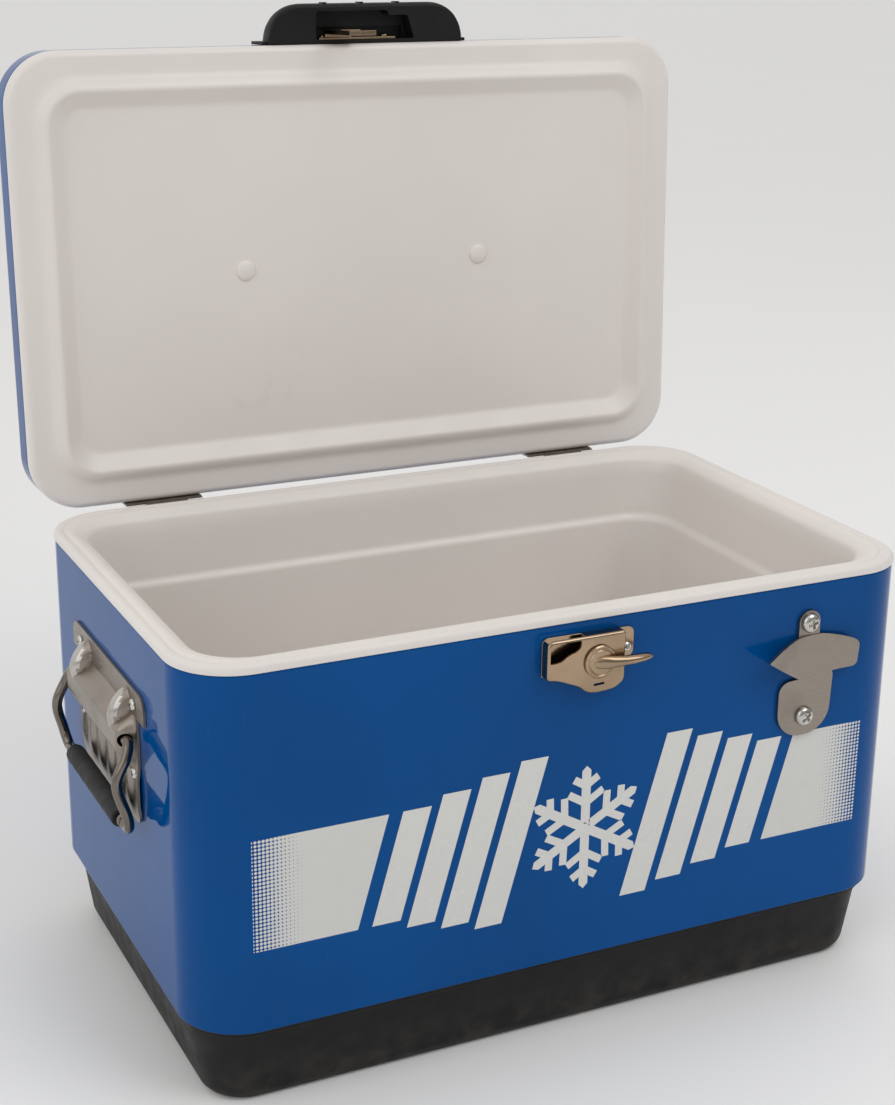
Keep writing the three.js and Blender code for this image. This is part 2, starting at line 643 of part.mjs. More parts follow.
function makeHinge(model, lid, side, name) {
  const centre = side * hingeSpread;
  const width = [centre - hingeWidth / 2, centre + hingeWidth / 2];
  const bore = bar('x', hingePinRadius + gap, [width[0] - 1, width[1] + 1], [hingeY, hingeZ], 12);
  const [first, middle, last] = [0, 1, 2].map((index) => knuckle(side, index));
  const screws = hingeScrews(side);

  const leaf = box(width, [back + gap, back + gap + leafSheet],
    [hingeZ - bodyLeafHeight, hingeZ + 1]);
  const tabs = [first, last].map(({ span }) => (
    box(span, [back + gap, hingeY], [hingeZ - knuckleRadius, hingeZ - 1])
  ));
  const notch = box([middle.span[0] - gap, middle.span[1] + gap], [back, back + 20],
    [hingeZ - knuckleRadius - 1, hingeZ + 10]);
  const bodyLeaf = cut(
    join(cut(leaf, notch), ...tabs, first.solid, last.solid),
    bore,
    box(width, [back - 1, back + rimOverhang + gap], [rimUnderside - gap, rimTop]),
    ...screws.map((pair) => screwHole(pair.body)),
  );
  piece(model, `${name}_hinge_body_leaf`, bodyLeaf, finishes.darkSteel);

  const lidLeafPlate = box(width, [lidBack + gap, lidBack + gap + leafSheet],
    [hingeZ + knuckleRadius + 1, hingeZ + lidLeafHeight]);
  const pastRim = back + rimOverhang + gap;
  const neck = box(middle.span, [Math.min(lidBack + gap, pastRim), pastRim + leafSheet],
    [hingeZ, hingeZ + lidLeafHeight / 2]);
  const rimClearance = box(width, [back - 5, pastRim], [hingeZ - knuckleRadius - 1, rimTop + gap]);
  const lidLeaf = cut(join(cut(join(lidLeafPlate, neck), rimClearance), middle.solid), bore,
    ...screws.map((pair) => screwHole(pair.lid)));
  piece(lid, `${name}_hinge_lid_leaf`, lidLeaf, finishes.darkSteel);

  const pin = join(
    bar('x', hingePinRadius, [width[0] - 1, width[1] + 1], [hingeY, hingeZ], 12),
    bar('x', hingePinRadius + 0.9, [width[0] - 1.5, width[0] - gap], [hingeY, hingeZ], 12),
    bar('x', hingePinRadius + 0.9, [width[1] + gap, width[1] + 1.5], [hingeY, hingeZ], 12),
  );
  piece(model, `${name}_hinge_pin`, pin, finishes.darkSteel);
  screws.forEach((pair, i) => {
    const hand = ['left', 'right'][i];
    screw(model, `${name}_hinge_body_screw_${hand}`, pair.body, finishes.darkSteel);
    screw(lid, `${name}_hinge_lid_screw_${hand}`, pair.lid, finishes.darkSteel);
  });
}

// ---------------------------------------------------------------- lid

function makeLid(lid) {
  const lidLoft = (allowance, rows) => {
    const width = lidWidth - 2 * allowance;
    const depth = lidDepth - 2 * allowance;
    return loft(width, depth, lidRadius - allowance, rows).translate([0, lidShift, 0]);
  };
  const screwHoles = [
    ...lidHandleScrews,
    ...[-1, 1].flatMap((side) => hingeScrews(side).map((pair) => pair.lid)),
  ].map(screwHole);

  const dome = (drop) => [[0, lidTop - drop - 13], [1, lidTop - drop - 8.5],
    [3.5, lidTop - drop - 4.5], [8, lidTop - drop - 1.5], [14, lidTop - drop]];
  const skin = cut(
    lidLoft(0, [[0, skinBottom], ...dome(0)]),
    lidLoft(0, [[lidFlange, skinBottom - 1], [lidFlange, skinBottom + lidSheet],
      [lidSheet, skinBottom + lidSheet], ...within(dome(lidSheet), lidSheet)]),
    ...screwHoles,
  );
  piece(lid, 'lid_shell', skin, finishes.bluePaint);

  const panelTop = lidSeat + lidRecess + lidLinerWall;
  const foamFoot = lidLinerInset + lidLinerLip + 2 * gap;
  const foam = cut(
    lidLoft(0, [[foamFoot, panelTop + gap],
      [foamFoot, skinBottom + lidSheet + gap],
      [lidSheet + gap, skinBottom + lidSheet + gap],
      ...within(dome(lidSheet + gap), lidSheet + gap)]),
    ...screwHoles,
    ...[-1, 1].map((side) => bar('z', fillPlug.stem + 2 * gap,
      [panelTop - 2, panelTop + fillPlug.length], [side * fillPlug.x, 0])),
  );
  piece(lid, 'lid_foam', foam, finishes.foam);

  const ridge = lidRidgeInset;
  const low = lidSeat - lidRidgeDrop;
  const recessFloor = lidSeat + lidRecess;
  const slab = join(
    lidLoft(lidLinerInset, [[3, lidSeat], [0.8, lidSeat + 1.5], [0, lidSeat + 4],
      [0, lidSeat + lidLinerEdge]]),
    lidLoft(lidLinerInset, [[ridge + 9, low, ridgeRadius - 6], [ridge + 5, low + 1, ridgeRadius - 3],
      [ridge + 2, low + 3.5, ridgeRadius - 1], [ridge, lidSeat + 1, ridgeRadius]]),
  );
  const liner = cut(
    slab,
    lidLoft(lidLinerInset, [[ridge + 10, low - 1, ridgeRadius - 7],
      [ridge + 11, low + 0.2, ridgeRadius - 8], [ridge + 15, low + 4, ridgeRadius - 11],
      [ridge + 20, recessFloor - 1.5, ridgeRadius - 14], [ridge + 24, recessFloor, ridgeRadius - 16]]),
    lidLoft(lidLinerInset, [[lidLinerLip, panelTop], [lidLinerLip, lidSeat + lidLinerEdge + 1]]),
    ...[-1, 1].map((side) => bar('z', fillPlug.stem + gap, [recessFloor - 1, panelTop + 1],
      [side * fillPlug.x, 0])),
  );
  piece(lid, 'lid_liner', liner, finishes.whitePlastic);

  for (const [side, name] of [[-1, 'left'], [1, 'right']]) {
    const centre = [side * fillPlug.x, 0];
    const cap = new THREE.SphereGeometry(1, 16, 8);
    cap.scale(fillPlug.cap, fillPlug.cap, 3).translate(centre[0], 0, recessFloor - gap);
    const plug = join(
      solid(cap).intersect(box([-end, end], [-50, 50], [0, recessFloor - gap])),
      bar('z', fillPlug.stem, [recessFloor - 1, panelTop + fillPlug.length - 1], centre, 12),
    );
    piece(lid, `lid_fill_plug_${name}`, plug, finishes.whitePlastic);
  }
}

// ---------------------------------------------------------------- lid handle and strike

function makeLidHandle(lid) {
  const bottom = skinBottom - 4;
  const top = bottom + lidHandleHeight;
  const root = lidFront - gap;
  const half = lidHandleWidth / 2;
  const nose = lidHandleNose / 2;
  const reach = lidHandleReach;
  const plan = new THREE.Shape();
  plan.moveTo(-half, root);
  plan.quadraticCurveTo(-half + 4, root - reach + 3, -nose, root - reach);
  plan.lineTo(nose, root - reach);
  plan.quadraticCurveTo(half - 4, root - reach + 3, half, root);
  plan.closePath();
  const planSolid = new THREE.ExtrudeGeometry(plan,
    { depth: lidHandleHeight, bevelEnabled: false, curveSegments: 8 });
  planSolid.translate(0, 0, bottom);
  const sideOutline = outline([[0, 0], [reach - 4, 0], [reach - 1, 2], [reach, 8],
    [reach - 1, 16], [reach - 8, 27], [8, lidHandleHeight], [0, lidHandleHeight]]);
  const sideSolid = new THREE.ExtrudeGeometry(sideOutline,
    { depth: lidHandleWidth, bevelEnabled: false });
  // Side view drawn as distance out and height, then stood across the lid.
  sideSolid.rotateX(Math.PI / 2).rotateZ(-Math.PI / 2)
    .translate(half, root, bottom);
  const outer = solid(planSolid).intersect(solid(sideSolid)).translate(lidHandleOffset, 0, 0);
  const foot = box([lidHandleOffset - half - 4, lidHandleOffset + half + 4], [root - 2.5, root],
    [bottom + 4, top]);
  const cavity = box([-38, 44], [root - reach + 5, root - handleBackWall],
    [bottom - 1, bottom + 18]);
  const ribs = [-28.5, 4, 36.5].map((x) => (
    box([x - 1.5, x + 1.5], [root - reach - 0.8, root - reach + 4], [bottom + 4, bottom + 12])
  ));
  const handle = cut(
    join(outer, foot, ...ribs),
    cavity, ...lidHandleScrews.map(screwHole),
  );
  piece(lid, 'lid_handle', handle, finishes.blackPlastic);

  const left = strikeX - strikeWidth / 2;
  const right = strikeX + strikeWidth / 2;
  const hookFace = front - 2.6;
  const depth = [hookFace - strikeThickness, hookFace];
  const barBottom = leverZ - 7.5;
  const bracket = box([-35, 33], [bracketFace, bracketFace + latchSheet],
    [skinBottom - 3, skinBottom + 13]);
  const strike = cut(
    join(
      bracket,
      box([left, right], [depth[0], bracketFace + latchSheet], [skinBottom - 1, skinBottom + 3]),
      box([left, right], depth, [jacketTop - 3, skinBottom + 3]),
      box([left, left + 4.5], depth, [barBottom, skinBottom]),
      box([left, right], depth, [barBottom, barBottom + 3.5]),
    ),
    ...lidHandleScrews.map(screwHole),
  );
  piece(lid, 'lid_strike', strike, finishes.nickel);
  for (const place of lidHandleScrews) {
    screw(lid, `lid_handle_screw_${place.hand}`, place, finishes.nickel);
  }
}

// ---------------------------------------------------------------- assembly

const chest = new THREE.Group();

// The lid is built closed and turned back about the hinge pins.
const lidSwing = new THREE.Group();
lidSwing.position.set(0, hingeY, hingeZ);
lidSwing.rotation.x = -openAngle;
chest.add(lidSwing);
const lid = new THREE.Group();
lid.position.set(0, -hingeY, -hingeZ);
lidSwing.add(lid);

const leftEnd = new THREE.Group();
leftEnd.rotation.z = Math.PI;
chest.add(leftEnd);

makeBody(chest);
makeDrain(chest);
makeLatch(chest);
makeOpener(chest);
makeHandle(chest, 'right');
makeHandle(leftEnd, 'left');
makeHinge(chest, lid, -1, 'left');
makeHinge(chest, lid, 1, 'right');
makeLid(lid);
makeLidHandle(lid);

export default chest;
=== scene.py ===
"""Looks of a steel-belted picnic ice chest: enamelled shells, moulded liners, fittings and prints.

Pieces are modelled in millimetres in the packed frame's axes and brought to metres when finished.
The lid's pieces are modelled closed and then turned back about the hinge.
"""

import json
import math

import bmesh
import bpy
from mathutils import Matrix, Vector


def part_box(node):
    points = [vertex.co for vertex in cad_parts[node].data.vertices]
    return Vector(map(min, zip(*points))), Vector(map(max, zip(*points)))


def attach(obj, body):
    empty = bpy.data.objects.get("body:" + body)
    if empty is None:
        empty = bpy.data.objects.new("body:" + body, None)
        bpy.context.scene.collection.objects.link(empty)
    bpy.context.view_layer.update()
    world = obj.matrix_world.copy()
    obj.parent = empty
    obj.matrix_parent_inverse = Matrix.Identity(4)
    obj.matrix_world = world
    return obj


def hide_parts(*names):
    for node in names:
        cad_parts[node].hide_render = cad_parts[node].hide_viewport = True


bl_info = {
    "name": "Picnic ice chest",
    "version": (1, 0, 0),
    "blender": (4, 5, 0),
    "location": "3D Viewport > Sidebar > Ice chest",
    "description": "Builds a steel-belted picnic ice chest, piece by piece, on its packed frame",
    "category": "Add Mesh",
}

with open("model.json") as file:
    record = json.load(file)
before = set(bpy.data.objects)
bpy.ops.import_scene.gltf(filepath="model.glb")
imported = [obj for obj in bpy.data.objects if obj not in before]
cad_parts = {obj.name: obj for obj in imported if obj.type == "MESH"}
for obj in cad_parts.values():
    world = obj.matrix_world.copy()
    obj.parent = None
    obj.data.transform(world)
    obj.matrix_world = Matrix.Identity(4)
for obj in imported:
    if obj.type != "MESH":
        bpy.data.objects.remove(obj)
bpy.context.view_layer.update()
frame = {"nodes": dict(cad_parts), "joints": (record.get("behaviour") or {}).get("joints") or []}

MM = 0.001
CORNER_STEPS = 14  # facets in each quarter turn of the big shells


# ---------------------------------------------------------------- sizes from the frame


def span(node):
    """Lowest and highest corner of a frame node, in millimetres."""
    low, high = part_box(node)
    return low / MM, high / MM


def joint(name):
    return next(found for found in frame["joints"] if found["name"] == name)


def closed_span(node):
    """Lowest and highest corner of a lid node once the lid is shut, in millimetres."""
    back = Matrix.Rotation(-OPEN_ANGLE, 3, "X")
    points = [HINGE_AT + back @ (v.co / MM - HINGE_AT) for v in frame["nodes"][node].data.vertices]
    low = Vector([min(p[i] for p in points) for i in range(3)])
    high = Vector([max(p[i] for p in points) for i in range(3)])
    return low, high


jacket_low, jacket_high = span("outer_jacket")
tub_low, tub_high = span("inner_liner")
opener_low, opener_high = span("bottle_opener")
plate_low, plate_high = span("right_handle_plate")
BODY_WIDTH = jacket_high.x - jacket_low.x
BODY_DEPTH = jacket_high.y - jacket_low.y
BODY_RADIUS = 48
FRONT = jacket_low.y
BACK = jacket_high.y
END = jacket_high.x
JACKET_BOTTOM = jacket_low.z
JACKET_TOP = jacket_high.z
RIM_TOP = tub_high.z
LEDGE = RIM_TOP - 57
GAP = 0.3

hinge = joint("lid_hinge")
HINGE_AT = Vector(hinge["pos_m"]) / MM
OPEN_ANGLE = math.radians(hinge["range_deg"][0])
skin_low, skin_high = closed_span("lid_shell")
liner_low, liner_high = closed_span("lid_liner")
LID_SEAT = RIM_TOP + 0.5
LID_WIDTH = skin_high.x - skin_low.x
LID_DEPTH = skin_high.y - skin_low.y
LID_RADIUS = BODY_RADIUS - 5.4
LID_FRONT = skin_low.y
LID_BACK = skin_high.y
LID_SHIFT = (LID_FRONT + LID_BACK) / 2  # the lid's centre stands this far behind the body's
LINER_INSET = liner_low.x - skin_low.x
SKIN_BOTTOM = skin_low.z
LID_EDGE = SKIN_BOTTOM - GAP - LID_SEAT  # white edge under the lid's skin
LID_TOP = skin_high.z

lever_at = Vector(joint("latch_turn")["pos_m"]) / MM
LEVER_X = lever_at.x
LEVER_Z = lever_at.z
OPENER_X = END - 100
OPENER_Z = JACKET_TOP - 30
bail_at = Vector(joint("right_bail_swing")["pos_m"]) / MM
PIVOT_OUT = bail_at.x - END
PIVOT_Z = bail_at.z
PLATE_TOP = plate_high.z
SKIRT_WIDTH = 146
WING_WIDTH = plate_high.y - plate_low.y
GRIP_LENGTH = SKIRT_WIDTH - 22
CROSSBAR_Z = PIVOT_Z - 63
CROSSBAR_OUT = 13.2
DRAIN_Z = 47


# ---------------------------------------------------------------- settings


def length_mm(name, description, default, low=0.0, high=200.0):
    return bpy.props.FloatProperty(
        name=name, description=description, default=default, min=low, max=high, precision=2
    )


def colour(name, description, default):
    return bpy.props.FloatVectorProperty(
        name=name, description=description, default=default, size=3, min=0, max=1, subtype="COLOR"
    )


class ChestSizes(bpy.types.PropertyGroup):
    """Sizes a user would change, in millimetres."""

    jacket_sheet: length_mm("Jacket sheet", "Thickness of the steel belt", 1.0, 0.4, 3)
    jacket_hem: length_mm("Jacket hem", "Radius of the belt's rolled edges", 1.6, 0.4, 4)
    tub_wall: length_mm("Tub wall", "Thickness of the moulded tub", 3.0, 1, 6)
    edge_softness: length_mm("Fitting edge", "Rounding of the pressed fittings' edges", 0.45, 0.1, 2)
    band_low: length_mm("Band foot", "Height of the printed band's lower edge", 129.5, 70, 300)
    band_high: length_mm("Band top", "Height of the printed band's upper edge", 215.0, 80, 330)
    band_reach: length_mm("Band reach", "Half the length of the printed band", 265.0, 50, 290)
    band_fade: length_mm("Band fade", "Length over which the dots grow into white", 60.0, 5, 120)
    dot_pitch: length_mm("Dot pitch", "Distance between the band's printed dots", 2.9, 1, 10)


class ChestColours(bpy.types.PropertyGroup):
    """Base colours of the finishes."""

    enamel: colour("Enamel", "Blue stove enamel of the belt and lid", (0.0004, 0.069, 0.262))
    moulding: colour("Moulding", "White moulded tub and lid liner", (0.78, 0.738, 0.706))
    ink: colour("Print", "White printed on the belt", (0.66, 0.66, 0.64))
    base: colour("Base", "Black moulded base and lid handle", (0.0055, 0.0055, 0.0058))
    nickel: colour("Nickel", "Plated latch and strike", (0.37, 0.27, 0.18))
    steel: colour("Stainless", "Brushed opener and carrying handles", (0.30, 0.262, 0.228))
    hinge_steel: colour("Hinge steel", "Darkened hinge leaves", (0.26, 0.235, 0.21))
    rubber: colour("Rubber", "Grips and drain seals", (0.010, 0.0105, 0.011))


class StageSettings(bpy.types.PropertyGroup):
    """Floor and light."""

    floor: colour("Floor", "Pale plain floor", (0.93, 0.93, 0.93))
    surround: bpy.props.FloatProperty(
        name="Surround", description="Strength of the white surroundings", default=0.69, min=0
    )
    key_power: bpy.props.FloatProperty(
        name="Key light", description="Power of the big soft light", default=23, min=0, subtype="POWER"
    )


def sizes():
    return bpy.context.scene.chest_sizes


def colours():
    return bpy.context.scene.chest_colours


# ---------------------------------------------------------------- mesh helpers


def softened(rows, steps=5):
    """Rows of (inset, height, corner, fillet) with each fillet worked out as an arc of rows."""
    smooth = []
    for i, row in enumerate(rows):
        inset, height, corner, fillet = row
        if not fillet or i in (0, len(rows) - 1):
            smooth.append((inset, height, corner))
            continue
        here = Vector((inset, height, corner))
        before = Vector(rows[i - 1][:3]) - here
        after = Vector(rows[i + 1][:3]) - here
        reach = min(fillet, 0.49 * before.length, 0.49 * after.length)
        start = here + before.normalized() * reach
        finish = here + after.normalized() * reach
        for step in range(steps + 1):
            t = step / steps
            smooth.append(tuple(start.lerp(here, t).lerp(here.lerp(finish, t), t)))
    return smooth


def ring(bm, width, depth, corner, height, centre=(0, 0), steps=CORNER_STEPS):
    """The edges of one rounded rectangle, level at a height."""
    verts = bmesh.ops.create_grid(bm, x_segments=1, y_segments=1, size=0.5)["verts"]
    bmesh.ops.scale(bm, vec=(width, depth, 1), verts=verts)
    bmesh.ops.translate(bm, vec=(*centre, height), verts=verts)
    made = bmesh.ops.bevel(
        bm, geom=verts, affect="VERTICES", offset=corner, segments=steps, profile=0.5, material=-1
    )
    face = made["verts"][0].link_faces[0]
    edges = list(face.edges)
    bm.faces.remove(face)
    return edges


def shell(width, depth, rows, centre=(0, 0), closed=False, steps=CORNER_STEPS):
    """Rounded rectangles bridged one to the next: a ring-shaped wall if closed, else capped ends."""
    bm = bmesh.new()
    rings = [
        ring(bm, width - 2 * inset, depth - 2 * inset, corner, height, centre, steps)
        for inset, height, corner in rows
    ]
    pairs = list(zip(rings, rings[1:]))
    if closed:
        pairs.append((rings[-1], rings[0]))
    for lower, upper in pairs:
        bmesh.ops.bridge_loops(bm, edges=lower + upper)
    if not closed:
        for edges in (rings[0], rings[-1]):
            bmesh.ops.contextual_create(bm, geom=edges)
    bmesh.ops.recalc_face_normals(bm, faces=bm.faces)
    return bm


def rounded_outline(bm, points, steps=6):
    """A flat face in X and Y from (x, y) or (x, y, rounding) corners."""
    verts = [bm.verts.new((point[0], point[1], 0)) for point in points]
    bm.faces.new(verts)
    for vert, point in zip(verts, points):
        if len(point) > 2 and point[2]:
            bmesh.ops.bevel(
                bm, geom=[vert], affect="VERTICES", offset=point[2], segments=steps, profile=0.5,
                material=-1,
            )
    return list(bm.faces)


def slab(points, thickness, steps=6):
    """An outline in X and Y given a thickness along +Z."""
    bm = bmesh.new()
    faces = rounded_outline(bm, points, steps)
    raised = bmesh.ops.extrude_face_region(bm, geom=faces)["geom"]
    top = [item for item in raised if isinstance(item, bmesh.types.BMVert)]
    bmesh.ops.translate(bm, vec=(0, 0, thickness), verts=top)
    bmesh.ops.recalc_face_normals(bm, faces=bm.faces)
    return bm


def spun(profile, steps=32):
    """A closed turned shape from (radius, height) points, about Z."""
    bm = bmesh.new()
    verts = [bm.verts.new((radius, 0, height)) for radius, height in profile]
    edges = [bm.edges.new(pair) for pair in zip(verts, verts[1:])]
    bmesh.ops.spin(
        bm, geom=verts + edges, cent=(0, 0, 0), axis=(0, 0, 1), angle=2 * math.pi, steps=steps,
        use_merge=True,
    )
    bmesh.ops.remove_doubles(bm, verts=bm.verts, dist=0.001)
    bmesh.ops.recalc_face_normals(bm, faces=bm.faces)
    return bm


def block(low, high):
    """A box between two corners."""
    bm = bmesh.new()
    bmesh.ops.create_cube(bm, size=1)
    low, high = Vector(low), Vector(high)
    bmesh.ops.scale(bm, vec=high - low, verts=bm.verts)
    bmesh.ops.translate(bm, vec=(low + high) / 2, verts=bm.verts)
    return bm


def rod(radius, length, steps=32):
    """A round bar up from the origin along Z."""
    return spun([(0, 0), (radius, 0), (radius, length), (0, length)], steps)


def moved(bm, matrix):
    bmesh.ops.transform(bm, matrix=matrix, verts=bm.verts)
    return bm


def facing(axis, at=(0, 0, 0)):
    """Turns +Z to look along an axis, with X kept level, and moves it to a place."""
    turns = {
        "-y": Matrix.Rotation(math.pi / 2, 4, "X"),
        "+y": Matrix.Rotation(math.pi, 4, "Z") @ Matrix.Rotation(math.pi / 2, 4, "X"),
        "+x": Matrix.Rotation(math.pi / 2, 4, "Z") @ Matrix.Rotation(math.pi / 2, 4, "X"),
        "+z": Matrix.Identity(4),
    }
    return Matrix.Translation(at) @ turns[axis]


def gathered(*parts):
    """Several meshes in one."""
    bm = parts[0]
    for part in parts[1:]:
        carried = bpy.data.meshes.new("carried")
        part.to_mesh(carried)
        part.free()
        bm.from_mesh(carried)
        bpy.data.meshes.remove(carried)
    return bm


def as_object(bm, name):
    mesh = bpy.data.meshes.new(name)
    bm.to_mesh(mesh)
    bm.free()
    made = bpy.data.objects.new(name, mesh)
    bpy.context.scene.collection.objects.link(made)
    return made


def settled(obj):
    """The object with its modifiers made part of its mesh."""
    graph = bpy.context.evaluated_depsgraph_get()
    graph.update()
    finished = bpy.data.meshes.new_from_object(obj.evaluated_get(graph))
    old = obj.data
    obj.modifiers.clear()
    obj.data = finished
    bpy.data.meshes.remove(old)
    return obj


def carved(bm, *cutters, operation="DIFFERENCE"):
    """A mesh with others cut out of it, joined to it, or shared with it."""
    body = as_object(bm, "body")
    tools = [as_object(cutter, "cutter") for cutter in cutters]
    for tool in tools:
        modifier = body.modifiers.new("cut", "BOOLEAN")
        modifier.operation = operation
        modifier.solver = "EXACT"
        modifier.object = tool
    settled(body)
    result = bmesh.new()
    result.from_mesh(body.data)
    for made in [body, *tools]:
        mesh = made.data
        bpy.data.objects.remove(made)
        bpy.data.meshes.remove(mesh)
    if not result.faces:
        raise RuntimeError("a cut left nothing")
    bmesh.ops.remove_doubles(result, verts=result.verts, dist=0.002)
    bmesh.ops.dissolve_limit(
        result, angle_limit=math.radians(0.5), verts=result.verts, edges=result.edges
    )
    return result


def of_lid(bm):
    """Turns a piece modelled closed back to the open lid."""
    bmesh.ops.rotate(
        bm, cent=HINGE_AT, matrix=Matrix.Rotation(OPEN_ANGLE, 3, "X"), verts=bm.verts
    )
    return bm


def of_left_end(bm):
    """Turns a right-hand piece half way round the chest."""
    bmesh.ops.rotate(bm, cent=(0, 0, 0), matrix=Matrix.Rotation(math.pi, 3, "Z"), verts=bm.verts)
    return bm


def piece(bm, name, body, finish, *replaced, bevel=0.0, sharp=32, bevel_steps=3):
    """Finishes a mesh as a named piece that rides on a body and stands for frame nodes."""
    bmesh.ops.scale(bm, vec=(MM, MM, MM), verts=bm.verts)
    for face in bm.faces:
        face.smooth = True
    for edge in bm.edges:
        edge.smooth = edge.calc_face_angle(0) < math.radians(sharp)
    made = as_object(bm, name)
    if bevel:
        modifier = made.modifiers.new("edges", "BEVEL")
        modifier.width = bevel * MM
        modifier.segments = bevel_steps
        modifier.limit_method = "ANGLE"
        modifier.angle_limit = math.radians(sharp)
        modifier.use_clamp_overlap = True
        settled(made)
        made.data.set_sharp_from_angle(angle=math.radians(50))
    weighted = made.modifiers.new("shading", "WEIGHTED_NORMAL")
    weighted.keep_sharp = True
    settled(made)
    made.name = name
    made.data.name = name
    material, slot = finish
    made.data.materials.clear()
    made.data.materials.append(material)
    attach(made, body)
    if replaced:
        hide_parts(*replaced)
    return made


# ---------------------------------------------------------------- finishes


class Nodes:
    """A material's node tree, with short ways to add to it."""

    def __init__(self, name):
        self.material = bpy.data.materials.new(name)
        self.material.use_nodes = True
        self.tree = self.material.node_tree
        self.shader = self.tree.nodes["Principled BSDF"]
        self.place = self.add("ShaderNodeTexCoord").outputs["Object"]

    def add(self, kind, inputs=(), **settings):
        made = self.tree.nodes.new(kind)
        for key, value in settings.items():
            setattr(made, key, value)
        for key, value in dict(inputs).items():
            if isinstance(value, bpy.types.NodeSocket):
                self.tree.links.new(value, made.inputs[key])
            else:
                made.inputs[key].default_value = value
        return made

    def math(self, operation, *values):
        return self.add("ShaderNodeMath", enumerate(values), operation=operation).outputs[0]

    def both(self, *conditions):
        """1 where every condition holds."""
        result = conditions[0]
        for condition in conditions[1:]:
            result = self.math("MULTIPLY", result, condition)
        return result

    def noise(self, scale, detail=4, stretch=(1, 1, 1), roughness=0.55, distortion=0.0):
        mapping = self.add("ShaderNodeMapping", {"Vector": self.place, "Scale": stretch})
        made = self.add(
            "ShaderNodeTexNoise",
            {"Vector": mapping.outputs[0], "Scale": scale, "Detail": detail,
             "Roughness": roughness, "Distortion": distortion},
        )
        return made.outputs["Fac"]

    def ramp(self, value, low, high, start=0.0, finish=1.0):
        """A value carried smoothly from one range to another."""
        made = self.add(
            "ShaderNodeMapRange",
            {"Value": value, "From Min": low, "From Max": high, "To Min": start, "To Max": finish},
            interpolation_type="SMOOTHSTEP",
        )
        return made.outputs["Result"]

    def mix(self, factor, first, second):
        made = self.add("ShaderNodeMix", data_type="RGBA")
        for key, value in (("Factor", factor), ("A", first), ("B", second)):
            kind = "VALUE" if key == "Factor" else "RGBA"
            socket = next(s for s in made.inputs if s.name == key and s.type == kind)
            if isinstance(value, bpy.types.NodeSocket):
                self.tree.links.new(value, socket)
            else:
                socket.default_value = value if kind == "VALUE" else (*value, 1)
        return next(s for s in made.outputs if s.type == "RGBA")

    def bump(self, height, distance, strength=1.0, normal=None):
        inputs = {"Height": height, "Distance": distance, "Strength": strength}
        if normal is not None:
            inputs["Normal"] = normal
        return self.add("ShaderNodeBump", inputs).outputs["Normal"]

    def surface(self, **inputs):
        for key, value in inputs.items():
            socket = self.shader.inputs[key.replace("_", " ").title().replace("Ior", "IOR")]
            if isinstance(value, bpy.types.NodeSocket):
                self.tree.links.new(value, socket)
            elif socket.type == "RGBA":
                socket.default_value = (*value, 1)
            else:
                socket.default_value = value
        return self.material


def shade(tint, factor):
    return tuple(min(1, channel * factor) for channel in tint)


def print_mask(n):
    """1 where the belt's front carries the band's white ink."""
    size = sizes()
    axes = n.add("ShaderNodeSeparateXYZ", {"Vector": n.place})
    x, y, z = axes.outputs
    across = n.math("ABSOLUTE", x)
    on_face = n.math("LESS_THAN", y, (FRONT + 0.4) * MM)
    above = n.math("GREATER_THAN", z, size.band_low * MM)
    below = n.math("LESS_THAN", z, size.band_high * MM)
    inside = n.math("LESS_THAN", across, size.band_reach * MM)
    lean = n.math("MULTIPLY", n.math("SUBTRACT", z, 172 * MM), MOTIF_LEAN)
    level = n.math("ABSOLUTE", n.math("SUBTRACT", n.math("SUBTRACT", x, MOTIF_X * MM), lean))
    outside = n.math("GREATER_THAN", level, MOTIF_REACH * MM)
    cells = []
    for value in (x, z):
        cell = n.math("FRACT", n.math("DIVIDE", n.math("ADD", value, 1), size.dot_pitch * MM))
        cells.append(n.math("POWER", n.math("SUBTRACT", cell, 0.5), 2))
    from_dot = n.math("SQRT", n.math("ADD", *cells))
    from_end = n.math("SUBTRACT", size.band_reach * MM, across)
    grown = n.add(
        "ShaderNodeMapRange",
        {"Value": from_end, "From Min": 0, "From Max": size.band_fade * MM,
         "To Min": 0.24, "To Max": 0.76},
    ).outputs["Result"]
    dots = n.math("LESS_THAN", from_dot, grown)
    return n.both(on_face, above, below, inside, outside, dots)


def enamel(name, printed=False):
    n = Nodes(name)
    tint = colours().enamel
    cloud = n.noise(5, 3)
    base = n.mix(n.ramp(cloud, 0.35, 0.65), shade(tint, 0.94), shade(tint, 1.07))
    rubbed = n.ramp(n.noise(260, 6, (1, 1, 0.06), 0.7), 0.62, 0.74)
    scuffs = n.both(rubbed, n.ramp(n.noise(11, 2), 0.5, 0.68))
    base = n.mix(n.math("MULTIPLY", scuffs, 0.09), base, (0.20, 0.30, 0.45))
    rough = n.math("ADD", n.ramp(n.noise(34, 5), 0.3, 0.75, 0.14, 0.24),
                   n.math("MULTIPLY", scuffs, 0.25))
    if printed:
        mask = print_mask(n)
        ink = n.mix(n.noise(90, 4), shade(colours().ink, 0.97), shade(colours().ink, 1.03))
        base = n.mix(mask, base, ink)
        rough = n.math("ADD", rough, n.math("MULTIPLY", mask, 0.08))
    waves = n.bump(n.noise(7, 1.5), 0.0016, 0.5)
    peel = n.bump(n.noise(620, 2), 0.00006, 0.35, waves)
    return n.surface(
        base_color=base, roughness=rough, normal=peel, specular_ior_level=0.0, coat_weight=1.0,
        coat_roughness=0.03, coat_ior=1.21,
    ), "blue_paint"


